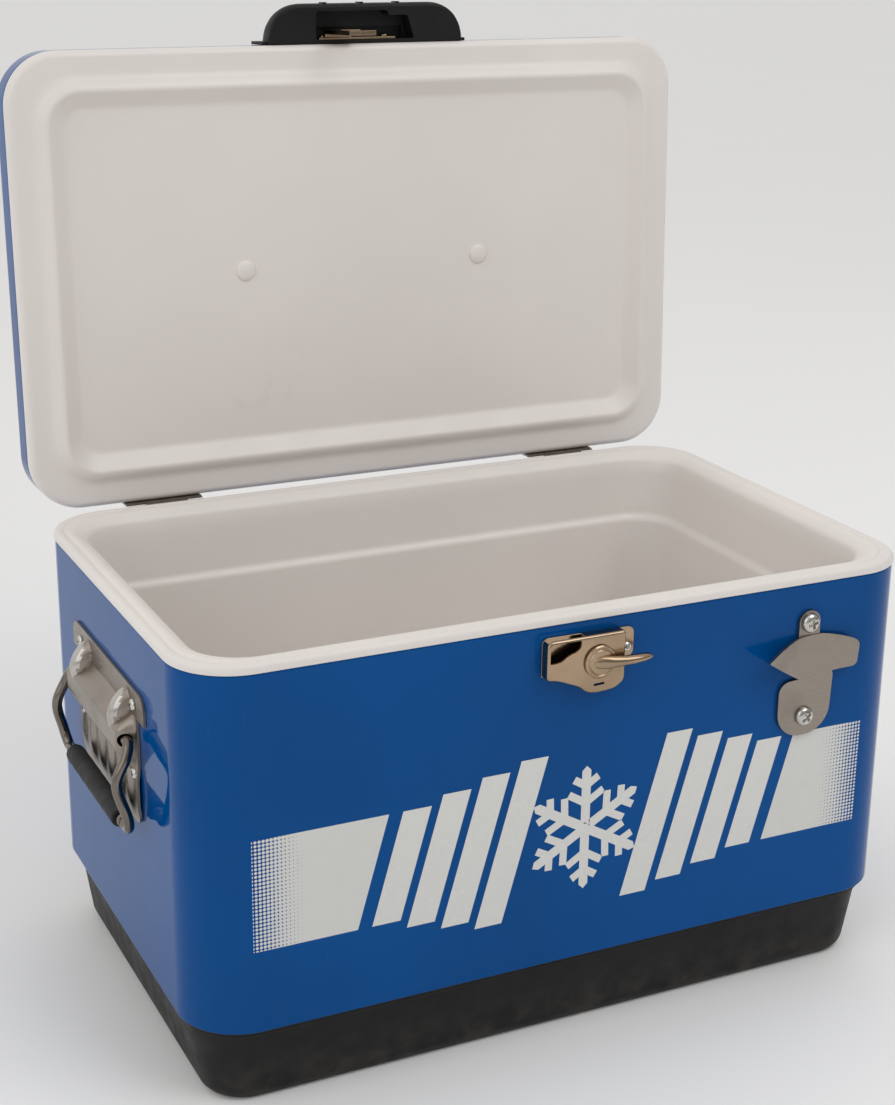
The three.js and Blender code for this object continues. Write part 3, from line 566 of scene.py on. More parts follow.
def moulded_white(name):
    n = Nodes(name)
    tint = colours().moulding
    base = n.mix(n.ramp(n.noise(4, 4), 0.3, 0.7), shade(tint, 0.965), shade(tint, 1.02))
    stain = n.both(n.ramp(n.noise(23, 7, roughness=0.65), 0.6, 0.78), n.ramp(n.noise(5, 2), 0.5, 0.7))
    base = n.mix(n.math("MULTIPLY", stain, 0.25), base, (0.60, 0.53, 0.45))
    scratch = n.ramp(n.noise(180, 4, (0.05, 1, 1), 0.6), 0.66, 0.72)
    rough = n.math("ADD", n.ramp(n.noise(40, 4), 0.3, 0.7, 0.34, 0.46),
                   n.math("MULTIPLY", scratch, 0.12))
    soft = n.bump(n.noise(9, 2), 0.0012, 0.35)
    grain = n.bump(n.noise(1300, 3), 0.00005, 0.5, soft)
    return n.surface(
        base_color=base, roughness=rough, normal=grain, specular_ior_level=0.5
    ), "white_plastic"


def moulded_black(name, grain_size=1500, low_dust=True):
    n = Nodes(name)
    tint = colours().base
    cells = n.add(
        "ShaderNodeTexVoronoi", {"Vector": n.place, "Scale": grain_size, "Randomness": 0.9}
    ).outputs["Distance"]
    base = n.mix(n.noise(30, 5), shade(tint, 0.8), shade(tint, 1.5))
    rough = n.ramp(n.noise(60, 5), 0.3, 0.7, 0.42, 0.58)
    if low_dust:
        height = n.add("ShaderNodeSeparateXYZ", {"Vector": n.place}).outputs["Z"]
        dust = n.both(n.ramp(height, 0.05, 0.0, 0.0, 0.6), n.ramp(n.noise(45, 6), 0.35, 0.7))
        base = n.mix(n.math("MULTIPLY", dust, 0.5), base, (0.12, 0.105, 0.09))
        rough = n.math("ADD", rough, n.math("MULTIPLY", dust, 0.3))
    return n.surface(
        base_color=base, roughness=rough, specular_ior_level=0.25, normal=n.bump(cells, 0.00018, 0.35)
    ), "black_plastic"


def plated(name, tint, slot, rough=(0.12, 0.26), streak=(1, 1, 1)):
    """Polished plating with fine wipe marks and a few pits."""
    n = Nodes(name)
    base = n.mix(n.ramp(n.noise(30, 4), 0.3, 0.7), shade(tint, 0.88), shade(tint, 1.1))
    pits = n.ramp(n.noise(900, 3), 0.70, 0.76)
    base = n.mix(n.math("MULTIPLY", pits, 0.5), base, shade(tint, 0.35))
    wiped = n.noise(700, 5, streak, 0.7)
    shine = n.math("ADD", n.ramp(wiped, 0.3, 0.7, *rough), n.math("MULTIPLY", pits, 0.2))
    ripple = n.bump(n.noise(60, 2), 0.0003, 0.3)
    return n.surface(
        base_color=base, metallic=1.0, roughness=shine, normal=n.bump(wiped, 0.00003, 0.4, ripple)
    ), slot


def brushed(name, stretch=(0.02, 1, 1)):
    """Stainless sheet rubbed along one axis."""
    n = Nodes(name)
    tint = colours().steel
    lines = n.noise(1500, 4, stretch, 0.6)
    base = n.mix(n.ramp(lines, 0.3, 0.7), shade(tint, 0.92), shade(tint, 1.07))
    smudge = n.ramp(n.noise(28, 5), 0.45, 0.7)
    base = n.mix(n.math("MULTIPLY", smudge, 0.25), base, shade(tint, 0.72))
    rough = n.math("ADD", n.ramp(lines, 0.3, 0.7, 0.24, 0.38), n.math("MULTIPLY", smudge, 0.08))
    return n.surface(
        base_color=base, metallic=1.0, roughness=rough, normal=n.bump(lines, 0.00004, 0.4)
    ), "stainless"


def aged_steel(name):
    n = Nodes(name)
    tint = colours().hinge_steel
    base = n.mix(n.noise(120, 6), shade(tint, 0.7), shade(tint, 1.4))
    rust = n.both(n.ramp(n.noise(300, 6), 0.55, 0.68), n.ramp(n.noise(40, 2), 0.45, 0.6))
    base = n.mix(n.math("MULTIPLY", rust, 0.7), base, (0.16, 0.065, 0.025))
    rough = n.math("ADD", n.ramp(n.noise(200, 4), 0.3, 0.7, 0.3, 0.45),
                   n.math("MULTIPLY", rust, 0.35))
    return n.surface(
        base_color=base, metallic=0.9, roughness=rough, normal=n.bump(n.noise(500, 5), 0.0001, 0.5)
    ), "dark_steel"


def foam_rubber(name):
    n = Nodes(name)
    tint = colours().rubber
    cells = n.add("ShaderNodeTexVoronoi", {"Vector": n.place, "Scale": 1100}).outputs["Distance"]
    base = n.mix(n.noise(200, 5), shade(tint, 0.7), shade(tint, 1.9))
    return n.surface(
        base_color=base, roughness=n.ramp(n.noise(90, 4), 0.3, 0.7, 0.62, 0.8),
        normal=n.bump(cells, 0.0003, 0.5),
    ), "black_rubber"


def insulation(name):
    n = Nodes(name)
    cells = n.add("ShaderNodeTexVoronoi", {"Vector": n.place, "Scale": 500}).outputs["Distance"]
    base = n.mix(n.noise(40, 5), (0.72, 0.62, 0.36), (0.82, 0.75, 0.52))
    return n.surface(
        base_color=base, roughness=0.9, normal=n.bump(cells, 0.0006, 0.6)
    ), "insulation"


def printed_white(name):
    n = Nodes(name)
    base = n.mix(n.noise(90, 4), shade(colours().ink, 0.97), shade(colours().ink, 1.03))
    return n.surface(
        base_color=base, roughness=n.ramp(n.noise(34, 5), 0.3, 0.75, 0.2, 0.32),
        normal=n.bump(n.noise(620, 2), 0.00006, 0.3), coat_weight=1.0, coat_roughness=0.05,
    ), "white_plastic"


# ---------------------------------------------------------------- body shells


def build_jacket():
    """The blue steel belt, one sheet with both hems rolled inwards."""
    size = sizes()
    sheet, hem, flange = size.jacket_sheet, size.jacket_hem, 11
    corner = BODY_RADIUS
    inner = hem - sheet if hem > sheet else 0.3
    outside = [
        (flange, JACKET_BOTTOM, corner - flange, 0),
        (0, JACKET_BOTTOM, corner, hem),
        (0, JACKET_BOTTOM + 6, corner, 0),
        (0, JACKET_TOP - 6, corner, 0),
        (0, JACKET_TOP, corner, hem),
        (flange, JACKET_TOP, corner - flange, 0),
    ]
    inside = [
        (flange, JACKET_TOP - sheet, corner - flange, 0),
        (sheet, JACKET_TOP - sheet, corner - sheet, inner),
        (sheet, JACKET_BOTTOM + sheet, corner - sheet, inner),
        (flange, JACKET_BOTTOM + sheet, corner - flange, 0),
    ]
    rows = softened(outside) + softened(inside)
    bm = shell(BODY_WIDTH, BODY_DEPTH, rows, closed=True, steps=22)
    piece(bm, "steel_belt", "chest", enamel("blue enamel, printed", True), "outer_jacket")


def base_rows():
    """Rows of the tapered base from its hollow underside over the foot and lip to its floor."""
    corner = BODY_RADIUS
    return softened([
        (75, 3.5, corner - 38, 0),
        (46, 3.5, corner - 32, 2),
        (41, 0.6, corner - 30, 1.5),
        (30, 0, corner - 24, 1),
        (20.5, 0, corner - 18, 3),
        (15.4, 6, corner - 15, 4),
        (7.6, 58.6, corner - 7.4, 1.2),
        (4.5, 59.6, corner - 4.5, 1.0),
        (4.5, 65, corner - 4.5, 0.8),
        (10.5, 65, corner - 10.5, 0.6),
        (10.5, 58, corner - 10.5, 0),
        (18.3, 9, corner - 17, 2),
        (26, 5.5, corner - 22, 0),
    ])


def build_base():
    """The black moulded base, with the drain's flat boss on its right-hand end."""
    drain_low, _ = span("drain_gasket")
    seat = drain_low.x - GAP
    pocket = moved(rod(13, 20), facing("+x", (seat, 0, DRAIN_Z)))
    boss = moved(
        spun([(0, -14), (13, -14), (13, -1), (12.4, 0), (0, 0)], 40), facing("+x", (seat, 0, DRAIN_Z))
    )
    tray = carved(shell(BODY_WIDTH, BODY_DEPTH, base_rows()), pocket)
    tray = carved(tray, boss, operation="UNION")
    piece(tray, "moulded_base", "chest", moulded_black("black moulding"), "base_tray")


def build_tub():
    """The white tub: floor, tapered walls, ledge line and two-step rim in one moulding."""
    wall = sizes().tub_wall
    corner = BODY_RADIUS
    top = RIM_TOP
    floor = 40
    rows = softened([
        (48.5, floor, 20, 0),
        (43, floor + 1.5, 24, 4),
        (41.4, floor + 8, 26, 5),
        (31.2, LEDGE - 3.6, 35, 3.2),
        (27.6, LEDGE + 0.4, 37, 3.2),
        (24.5, top - 15, 40, 6),
        (22.3, top - 6, 41, 5),
        (18.0, top - 2.6, 42.5, 3),
        (13.6, top - 0.2, 43.4, 2.6),
        (9.6, top, 44.2, 1.0),
        (8.0, top - 1.3, 44.6, 0.7),
        (6.2, top - 1.3, 45.2, 0.7),
        (4.8, top - 0.3, 45.6, 0.8),
        (0.9, top - 0.5, 47.4, 2.0),
        (-0.8, top - 3.0, corner + 0.8, 1.6),
        (-0.8, JACKET_TOP + GAP, corner + 0.8, 0.8),
        (19.5, JACKET_TOP + GAP, 42, 2),
        (24.5 - wall, top - 18, 41, 4),
        (31.2 - wall, LEDGE - 4, 37, 4),
        (41.4 - wall, floor + 3, 27, 5),
        (48.5 - wall, floor - wall, 22, 0),
    ], steps=4)
    bm = shell(BODY_WIDTH, BODY_DEPTH, rows, steps=16)
    drain = moved(rod(6.8, 60), facing("+x", (END - 75, 0, DRAIN_Z)))
    piece(carved(bm, drain), "moulded_tub", "chest", moulded_white("white moulding"), "inner_liner")


# ---------------------------------------------------------------- printed motif

MOTIF_X = 7
MOTIF_REACH = 170
MOTIF_LEAN = 0.28
PRINT_LIFT = 0.06
PRINT_THICKNESS = 0.12


def frost_arm(length, width):
    """One arm of the snow crystal, pointing along +Y, with two pairs of side branches."""
    half = width / 2
    arm = slab([(-half, 0), (half, 0), (half, length - half), (0, length), (-half, length - half)],
               PRINT_THICKNESS)
    branches = [arm]
    for place, reach in ((0.40, 0.34), (0.68, 0.24)):
        for side in (-1, 1):
            branch = slab([(-half * 0.8, 0), (half * 0.8, 0), (half * 0.8, length * reach),
                           (-half * 0.8, length * reach)], PRINT_THICKNESS)
            turn = Matrix.Rotation(-side * math.radians(58), 4, "Z")
            branches.append(moved(branch, Matrix.Translation((0, length * place, 0)) @ turn))
    return carved(branches[0], *branches[1:], operation="UNION")


def build_motif():
    """A white snow crystal between leaning bars, printed across the middle of the band."""
    size = sizes()
    middle = (size.band_low + size.band_high) / 2
    half_band = (size.band_high - size.band_low) / 2
    ink = printed_white("white print")
    bars = []
    for side in (-1, 1):
        for step in range(4):
            inner = 50 + step * 29
            outer = inner + 22
            tall = half_band + (3 - step) * 7
            corners = [(side * inner - MOTIF_LEAN * tall, -tall), (side * outer - MOTIF_LEAN * tall, -tall),
                       (side * outer + MOTIF_LEAN * tall, tall), (side * inner + MOTIF_LEAN * tall, tall)]
            bars.append(slab(corners if side > 0 else corners[::-1], PRINT_THICKNESS))
    at = facing("-y", (MOTIF_X, FRONT - PRINT_LIFT, middle))
    piece(moved(gathered(*bars), at), "printed_bars", "chest", ink)
    arms = [moved(frost_arm(50, 7.5), Matrix.Rotation(i * math.pi / 3, 4, "Z")) for i in range(6)]
    crystal = carved(arms[0], *arms[1:], operation="UNION")
    piece(moved(crystal, at), "printed_snow_crystal", "chest", ink)


# ---------------------------------------------------------------- lid shells


def lid_shell_of(rows, inset=0, steps=18, closed=False):
    return shell(LID_WIDTH - 2 * inset, LID_DEPTH - 2 * inset, rows, (0, LID_SHIFT), closed, steps)


def dome(allowance, steps=9):
    """Rows round the lid's edge, from its side over to its top."""
    rows = []
    for step in range(steps + 1):
        turn = step / steps * math.pi / 2
        inset = allowance + 14 * (1 - math.cos(turn))
        rows.append((inset, LID_TOP - allowance - 13 * (1 - math.sin(turn)), LID_RADIUS - inset))
    return rows


def build_lid_skin():
    """The lid's blue steel skin, with a rolled flange and a low crown."""
    sheet, flange = 1.2, 6
    corner = LID_RADIUS
    rows = softened([(flange, SKIN_BOTTOM, corner - flange, 0), (0, SKIN_BOTTOM, corner, 1.5),
                     (0, SKIN_BOTTOM + 8, corner, 0)])
    rows += dome(0)
    rows += [(60, LID_TOP, 24), (60, LID_TOP - sheet, 24)]
    rows += dome(sheet)[::-1]
    rows += softened([(sheet, SKIN_BOTTOM + 8, corner - sheet, 0),
                      (sheet, SKIN_BOTTOM + sheet, corner - sheet, 0.5),
                      (flange, SKIN_BOTTOM + sheet, corner - flange, 0)])
    outer = len(rows) // 2
    bm = bmesh.new()
    rings = [
        ring(bm, LID_WIDTH - 2 * i, LID_DEPTH - 2 * i, c, z, (0, LID_SHIFT), 18) for i, z, c in rows
    ]
    crown = rings.index(rings[next(k for k, row in enumerate(rows) if row[0] == 60)])
    for k, (lower, upper) in enumerate(zip(rings, rings[1:] + rings[:1])):
        if k != crown:
            bmesh.ops.bridge_loops(bm, edges=lower + upper)
    bmesh.ops.contextual_create(bm, geom=rings[crown])
    bmesh.ops.contextual_create(bm, geom=rings[crown + 1])
    bmesh.ops.recalc_face_normals(bm, faces=bm.faces)
    piece(of_lid(bm), "lid_skin", "lid", enamel("blue enamel"), "lid_shell")


def build_lid_liner():
    """The lid's white liner: flat flange, soft ridge and a shallow sunk panel, with two plugs."""
    low = LID_SEAT - 7
    panel = LID_SEAT + 3
    rim = LID_SEAT + LID_EDGE
    white = moulded_white("white lid moulding")
    c = LID_RADIUS
    rows = softened([
        (50, panel, 16, 0),
        (44.4, panel, 18, 5),
        (36.6, low + 4.5, 22, 6),
        (30.6, low, 27, 3),
        (26.6, low + 1.6, 31, 3),
        (20.6, LID_SEAT - 0.4, 35, 4),
        (14, LID_SEAT, 37, 0),
        (3, LID_SEAT, c - 3, 3),
        (0, LID_SEAT + 3.6, c, 2.6),
        (0, rim, c, 0.6),
        (5.6, rim, c - 5.6, 0.5),
        (5.6, panel + 3, c - 5.6, 0),
    ], steps=7)
    bm = lid_shell_of(rows)
    piece(of_lid(bm), "lid_moulding", "lid", white, "lid_liner")
    for side, name in ((-1, "left"), (1, "right")):
        cap = [(0, -3.2)]
        for step in range(1, 9):
            turn = step / 8 * math.pi / 2
            cap.append((8.5 * math.sin(turn), -0.2 - 3.0 * math.cos(turn)))
        cap += [(8.5, 0), (4, 0), (4, 5), (0, 5)]
        at = facing("+z", (side * 107, 0, panel))
        plug = moved(spun(cap, 40), at)
        piece(of_lid(plug), f"fill_plug_{name}", "lid", white, f"lid_fill_plug_{name}")


# ---------------------------------------------------------------- screws


def screw(name, body, at, axis, radius, rise, finish, node, turn=30, lid=False, left=False):
    """A domed pan head with a cross recess and a washer face, on a plain shank."""
    head = [(0, -8), (radius * 0.42, -8), (radius * 0.42, -0.1), (radius, -0.1), (radius, rise * 0.28)]
    for step in range(1, 7):
        bend = step / 6 * math.pi / 2
        head.append((radius * (0.97 * math.cos(bend) ** 0.7 if step < 6 else 0),
                     rise * (0.28 + 0.72 * math.sin(bend))))
    bm = spun(head, 28)
    arm = radius * 0.56
    wide = radius * 0.15
    cross = [block((-arm, -wide, rise * 0.35), (arm, wide, rise * 2)),
             block((-wide, -arm, rise * 0.35), (wide, arm, rise * 2))]
    bm = carved(bm, *cross)
    moved(bm, facing(axis, at) @ Matrix.Rotation(math.radians(turn), 4, "Z"))
    if lid:
        of_lid(bm)
    if left:
        of_left_end(bm)
    piece(bm, name, body, finish, node, bevel=0.12, bevel_steps=2)


def seat_of(node, axis):
    """Where a screw's head sits: the node's middle, at its inner end of the head."""
    low, high = span(node)
    middle = (low + high) / 2
    if axis == "-y":
        middle.y = low.y
    if axis == "+y":
        middle.y = high.y
    if axis == "+x":
        middle.x = high.x
    return middle


# ---------------------------------------------------------------- turn latch


def build_latch():
    """The plated turn latch: back plate, pressed housing, winged lever and cam."""
    soft = sizes().edge_softness
    nickel = plated("bright nickel", colours().nickel, "nickel", (0.17, 0.25))
    x, z = LEVER_X, LEVER_Z
    plate = slab([(-34, z - 9.5, 1), (-26, z - 10.5, 3), (-5, z - 19.5, 3), (29.5, z - 17, 1),
                  (29.5, z - 6, 1), (41, z - 3, 4), (41, z + 19, 5), (-34, z + 20, 5)], 1.5)
    moved(plate, facing("-y", (0, FRONT - GAP, 0)))
    piece(plate, "latch_back", "chest", nickel, "latch_back_plate", bevel=soft)

    outline = [(-34, z - 9.5, 2.5), (-26, z - 10.5, 4), (-6.5, z - 18.5, 3), (-4, z - 21.5, 2.5),
               (1, z - 24.2, 4), (13, z - 25, 8), (25, z - 22.4, 5), (29.5, z - 17, 3),
               (29.5, z + 20, 2.2), (-34, z + 20, 5)]
    body = slab(outline, 8.9, 5)
    front = [edge for edge in body.edges if min(v.co.z for v in edge.verts) > 8.8]
    bmesh.ops.bevel(body, geom=front, offset=2.1, segments=5, profile=0.5, affect="EDGES", material=-1)
    hollow = [(-32.5, z - 8, 2), (-5, z - 17, 2), (-2.5, z - 20.5, 2), (12, z - 23.4, 6),
              (23.5, z - 21, 4), (28, z - 16, 3), (28, z + 18.5, 1.5), (-32.5, z + 18.5, 4)]
    pocket = moved(slab(hollow, 10, 5), Matrix.Translation((0, 0, -2.6)))
    window = moved(slab([(-32, z + 3.2, 1), (-22.5, z + 3.4, 4), (-18, z + 7.8, 4), (-10.6, z + 9.6, 3),
                         (-7, z + 13.0, 2), (-7, z + 18, 1), (-32, z + 18, 4)], 12, 5),
                   Matrix.Translation((0, 0, 2)))
    entry = block((-32.5, z + 16, -1), (-3, z + 24, 6.6))
    slot = moved(slab([(3.6, z - 18.6, 0.6), (12.4, z - 18.2, 0.6), (12.4, z - 16.4, 0.6),
                       (3.6, z - 16.8, 0.6)], 12, 3), Matrix.Translation((0, 0, 2)))
    shaft = moved(rod(5, 30), Matrix.Translation((x, z, -5)))
    body = carved(body, pocket, window, entry, slot, shaft)
    moved(body, facing("-y", (0, FRONT - 2.1, 0)))
    piece(body, "latch_case", "chest", nickel, "latch_housing", bevel=soft)

    disc = [(0, 0), (12.5, 0), (12.5, 1.5), (11.7, 2.3), (10.4, 2.5), (9.9, 2.1), (9.4, 2.1),
            (8.9, 2.7), (5, 3.0), (0, 3.1)]
    disc = moved(spun(disc, 56), Matrix.Translation((x, z, 0)))
    fin = bmesh.new()
    sections = [(-6, 2.2, 3.2), (0, 4.6, 6.2), (8, 4.4, 8.6), (18, 3.7, 9.8), (28, 3.3, 9.8),
                (35, 2.7, 8.6), (39, 1.7, 7.2), (40.5, 0.6, 6.2)]
    rings = []
    for reach, half, height in sections:
        lobe = bmesh.ops.create_circle(fin, segments=24, radius=1)["verts"]
        bmesh.ops.scale(fin, vec=(half, max(0.8, (height - 1.2) / 2), 1), verts=lobe)
        stand = Matrix.Translation((x + reach, z, 1.2 + (height - 1.2) / 2))
        turn = Matrix.Rotation(math.pi / 2, 4, "Z") @ Matrix.Rotation(math.pi / 2, 4, "X")
        bmesh.ops.transform(fin, matrix=stand @ turn, verts=lobe)
        rings.append([edge for edge in fin.edges if edge.verts[0] in lobe and edge.verts[1] in lobe])
    for lower, upper in zip(rings, rings[1:]):
        bmesh.ops.bridge_loops(fin, edges=lower + upper)
    for edges in (rings[0], rings[-1]):
        bmesh.ops.contextual_create(fin, geom=edges)
    bmesh.ops.recalc_face_normals(fin, faces=fin.faces)
    bmesh.ops.subdivide_edges(fin, edges=fin.edges, cuts=1, use_grid_fill=True, smooth=0.6)
    stem = moved(rod(4, 11), Matrix.Translation((x, z, -8)))
    lever = carved(disc, fin, stem, operation="UNION")
    moved(lever, facing("-y", (0, FRONT - 11.3, 0)))
    piece(lever, "latch_wing", "lever", nickel, "latch_lever", bevel=0.2)

    cam = carved(slab([(-3.5, 0), (3.5, 0), (3.5, 18, 1.5), (-3.5, 18, 1.5)], 3.4), rod(7.5, 3.4, 32),
                 operation="UNION")
    cam = carved(cam, moved(rod(4.3, 8), Matrix.Translation((0, 0, -2))))
    moved(cam, facing("-y", (x, FRONT - 2.8, z)))
    piece(cam, "latch_tongue", "lever", aged_steel("cam steel"), "latch_cam", bevel=0.3)
    for hand, turn in (("left", 20), ("right", 48)):
        node = f"latch_screw_{hand}"
        at = seat_of(node, "-y") + Vector((0, 2, 0))
        screw(f"latch_fixing_{hand}", "chest", at, "-y", 3.5, 2.2,
              plated("screw plating", (0.72, 0.70, 0.68), "nickel"), node, turn)


# ---------------------------------------------------------------- bottle opener


def build_opener():
    """The stainless opener: screwed sheet with ear and lobe, and a bent hood with a claw."""
    steel = brushed("brushed opener steel")
    x, z = OPENER_X, OPENER_Z
    sheet = 2.6
    plate = carved(
        slab([(-9.5, -42), (10.5, -42), (9.3, 0), (-9.3, 0)], sheet),
        rod(9.5, sheet, 48),
        slab([(-24, -46.5, 9), (-24, -92, 21), (23, -92, 21), (24.8, -43, 3)], sheet, 12),
        slab([(-7, -60), (23.5, -60), (24.8, -14, 3), (-7, -14)], sheet),
        operation="UNION",
    )
    moved(plate, facing("-y", (x, FRONT - GAP, z)))

    # The hood is a curved strip trimmed to its outline.
    bend = [(-46, 19, 0), (-38, 15.6, 0), (-30, 12, 0), (-20, 8.2, 0), (-12, 5.6, 0), (-2, 4.2, 0),
            (8, 3.7, 0), (18, 4.1, 0), (28, 5.4, 0), (38, 7.6, 0), (47, 10.4, 0)]
    strip = bmesh.new()
    line = [strip.verts.new((dx, -(out - sheet), -60)) for dx, out, _ in bend]
    edges = [strip.edges.new(pair) for pair in zip(line, line[1:])]
    thick = bmesh.ops.extrude_edge_only(strip, edges=edges)["geom"]
    bmesh.ops.translate(strip, vec=(0, -sheet, 0),
                        verts=[item for item in thick if isinstance(item, bmesh.types.BMVert)])
    tall = bmesh.ops.extrude_face_region(strip, geom=list(strip.faces))["geom"]
    bmesh.ops.translate(strip, vec=(0, 0, 60),
                        verts=[item for item in tall if isinstance(item, bmesh.types.BMVert)])
    bmesh.ops.recalc_face_normals(strip, faces=strip.faces)
    moved(strip, Matrix.Translation((x, FRONT, z)))
    trim = slab([(-45.4, -21, 1), (-25, -34.5, 12), (-8, -44.6, 2), (25, -41.5, 4), (42, -39.3, 4),
                 (43.4, -19, 4), (30, -12.9, 18), (11, -10, 3), (-8.6, -10.2, 6), (-24.7, -14.2, 16),
                 (-35, -17.4, 6)], 40, 6)
    moved(trim, facing("-y", (x, FRONT + 5, z)))
    hood = carved(strip, trim, operation="INTERSECT")
    opener = carved(plate, hood, operation="UNION")
    piece(opener, "opener_plate", "chest", steel, "bottle_opener", bevel=0.7, sharp=40)
    chrome = plated("opener screw chrome", (0.56, 0.54, 0.51), "stainless", (0.08, 0.18))
    for place, turn in (("top", 12), ("bottom", 40)):
        node = f"opener_screw_{place}"
        at = seat_of(node, "-y") + Vector((0, 4, 0))
        screw(f"opener_fixing_{place}", "chest", at, "-y", 7.7, 4.8, chrome, node, turn)


# ---------------------------------------------------------------- carrying handles


def rounded_step(value, low, high):
    t = min(1, max(0, (value - low) / (high - low)))
    return t * t * (3 - 2 * t)


def boss_share(y, height):
    """One at the middle of a domed boss, nothing at its edge, and below nothing outside it."""
    across = (abs(y) - 50) / 7.5
    up = (height - (PLATE_TOP - 19.5)) / 14.5
    return 1 - across * across - up * up


def pressed_out(y, height):
    """How far the handle plate is pressed out of flat, at a place on it."""
    bulge = rounded_step(height, PIVOT_Z - 30, PIVOT_Z - 6) * (
        1 - rounded_step(height, PIVOT_Z + 5, PIVOT_Z + 19)
    )
    cheek = 1 - rounded_step(abs(y), SKIRT_WIDTH / 2 - 9, SKIRT_WIDTH / 2 - 1.5)
    out = 13.4 * bulge * cheek
    flute = math.cos(y / 12.2 * math.pi) * 0.5 + 0.5
    out += 1.5 * flute * (1 - rounded_step(height, PIVOT_Z - 34, PIVOT_Z - 20)) * rounded_step(
        height, PLATE_TOP - 104, PLATE_TOP - 86
    )
    inside = boss_share(y, height)
    if inside > 0:
        slope = 13.4 - 0.39 * (height - (PLATE_TOP - 34))
        out = max(out, slope - 5 + 10.5 * math.sqrt(inside))
    return out


def handle_plate():
    """Wing and skirt of one pressed sheet, open at the ends of its bulge for the rod."""
    sheet = 2.0
    low = PLATE_TOP - 105
    skirt_top = PLATE_TOP - 21
    bm = bmesh.new()
    columns, rows = 144, 88
    bmesh.ops.create_grid(bm, x_segments=columns, y_segments=rows, size=0.5)
    bmesh.ops.scale(bm, vec=(WING_WIDTH, 105, 1), verts=bm.verts)
    bmesh.ops.translate(bm, vec=(0, PLATE_TOP - 52.5, 0), verts=bm.verts)
    half = SKIRT_WIDTH / 2
    for side in (-1, 1):
        geom = list(bm.verts) + list(bm.edges) + list(bm.faces)
        bmesh.ops.bisect_plane(bm, geom=geom, plane_co=(side * half, 0, 0), plane_no=(side, 0, 0))
    geom = list(bm.verts) + list(bm.edges) + list(bm.faces)
    bmesh.ops.bisect_plane(bm, geom=geom, plane_co=(0, skirt_top, 0), plane_no=(0, 1, 0))
    spare = []
    for face in bm.faces:
        centre = face.calc_center_median()
        if abs(centre.x) > half and centre.y < skirt_top:
            spare.append(face)
    bmesh.ops.delete(bm, geom=spare, context="FACES")
    clips = [(WING_WIDTH / 2, PLATE_TOP, 12, 1), (half, low, 8, -1)]
    for reach, height, radius, upwards in clips:
        for side in (-1, 1):
            for step in range(1, 8):
                turn = step / 8 * math.pi / 2
                normal = Vector((side * math.cos(turn), upwards * math.sin(turn), 0))
                centre = Vector((side * (reach - radius), height - upwards * radius, 0))
                near = [f for f in bm.faces if (f.calc_center_median().y - low > 45) == (upwards > 0)]
                near_edges = {e for f in near for e in f.edges}
                near_verts = {v for f in near for v in f.verts}
                bmesh.ops.bisect_plane(
                    bm, geom=near + list(near_edges) + list(near_verts),
                    plane_co=centre + normal * radius, plane_no=normal, clear_outer=True,
                )
    for vert in bm.verts:
        vert.co.z = pressed_out(vert.co.x, vert.co.y)
    bmesh.ops.recalc_face_normals(bm, faces=bm.faces)
    if sum(face.normal.z for face in bm.faces) < 0:
        bmesh.ops.reverse_faces(bm, faces=bm.faces)
    bmesh.ops.solidify(bm, geom=bm.faces, thickness=-sheet)
    bmesh.ops.recalc_face_normals(bm, faces=bm.faces)
    moved(bm, facing("+x", (END + GAP, 0, 0)))
    ears = []
    for side in (-1, 1):
        ear = moved(rod(5.4, 22, 40), Matrix.Rotation(-math.pi / 2, 4, "X"))
        reach = side * (half - 5) - 11
        ears.append(moved(ear, Matrix.Translation((END + PIVOT_OUT, reach, PIVOT_Z))))
    return carved(bm, *ears)


def bail_points():
    """The bent rod's centre line from the middle of the grip to its tip inside the bulge."""
    half = SKIRT_WIDTH / 2
    return [
        (GRIP_LENGTH / 4, CROSSBAR_OUT, CROSSBAR_Z), (GRIP_LENGTH / 2 + 6, CROSSBAR_OUT, CROSSBAR_Z),
        (half + 7, CROSSBAR_OUT, CROSSBAR_Z), (half + 13, 15.5, CROSSBAR_Z + 12),
        (half + 8, 20.8, PIVOT_Z - 27.5), (half + 7, PIVOT_OUT + 3.5, PIVOT_Z - 9),
        (half + 2, PIVOT_OUT, PIVOT_Z), (half - 8, PIVOT_OUT, PIVOT_Z),
    ]


def smooth_path(points, steps=10):
    """A Catmull-Rom line through points."""
    path = []
    padded = [points[0], *points, points[-1]]
    for a, b, c, d in zip(padded, padded[1:], padded[2:], padded[3:]):
        a, b, c, d = Vector(a), Vector(b), Vector(c), Vector(d)
        for step in range(steps):
            t = step / steps
            path.append(0.5 * ((2 * b) + (c - a) * t + (2 * a - 5 * b + 4 * c - d) * t * t
                               + (3 * b - a - 3 * c + d) * t ** 3))
    path.append(Vector(points[-1]))
    return path


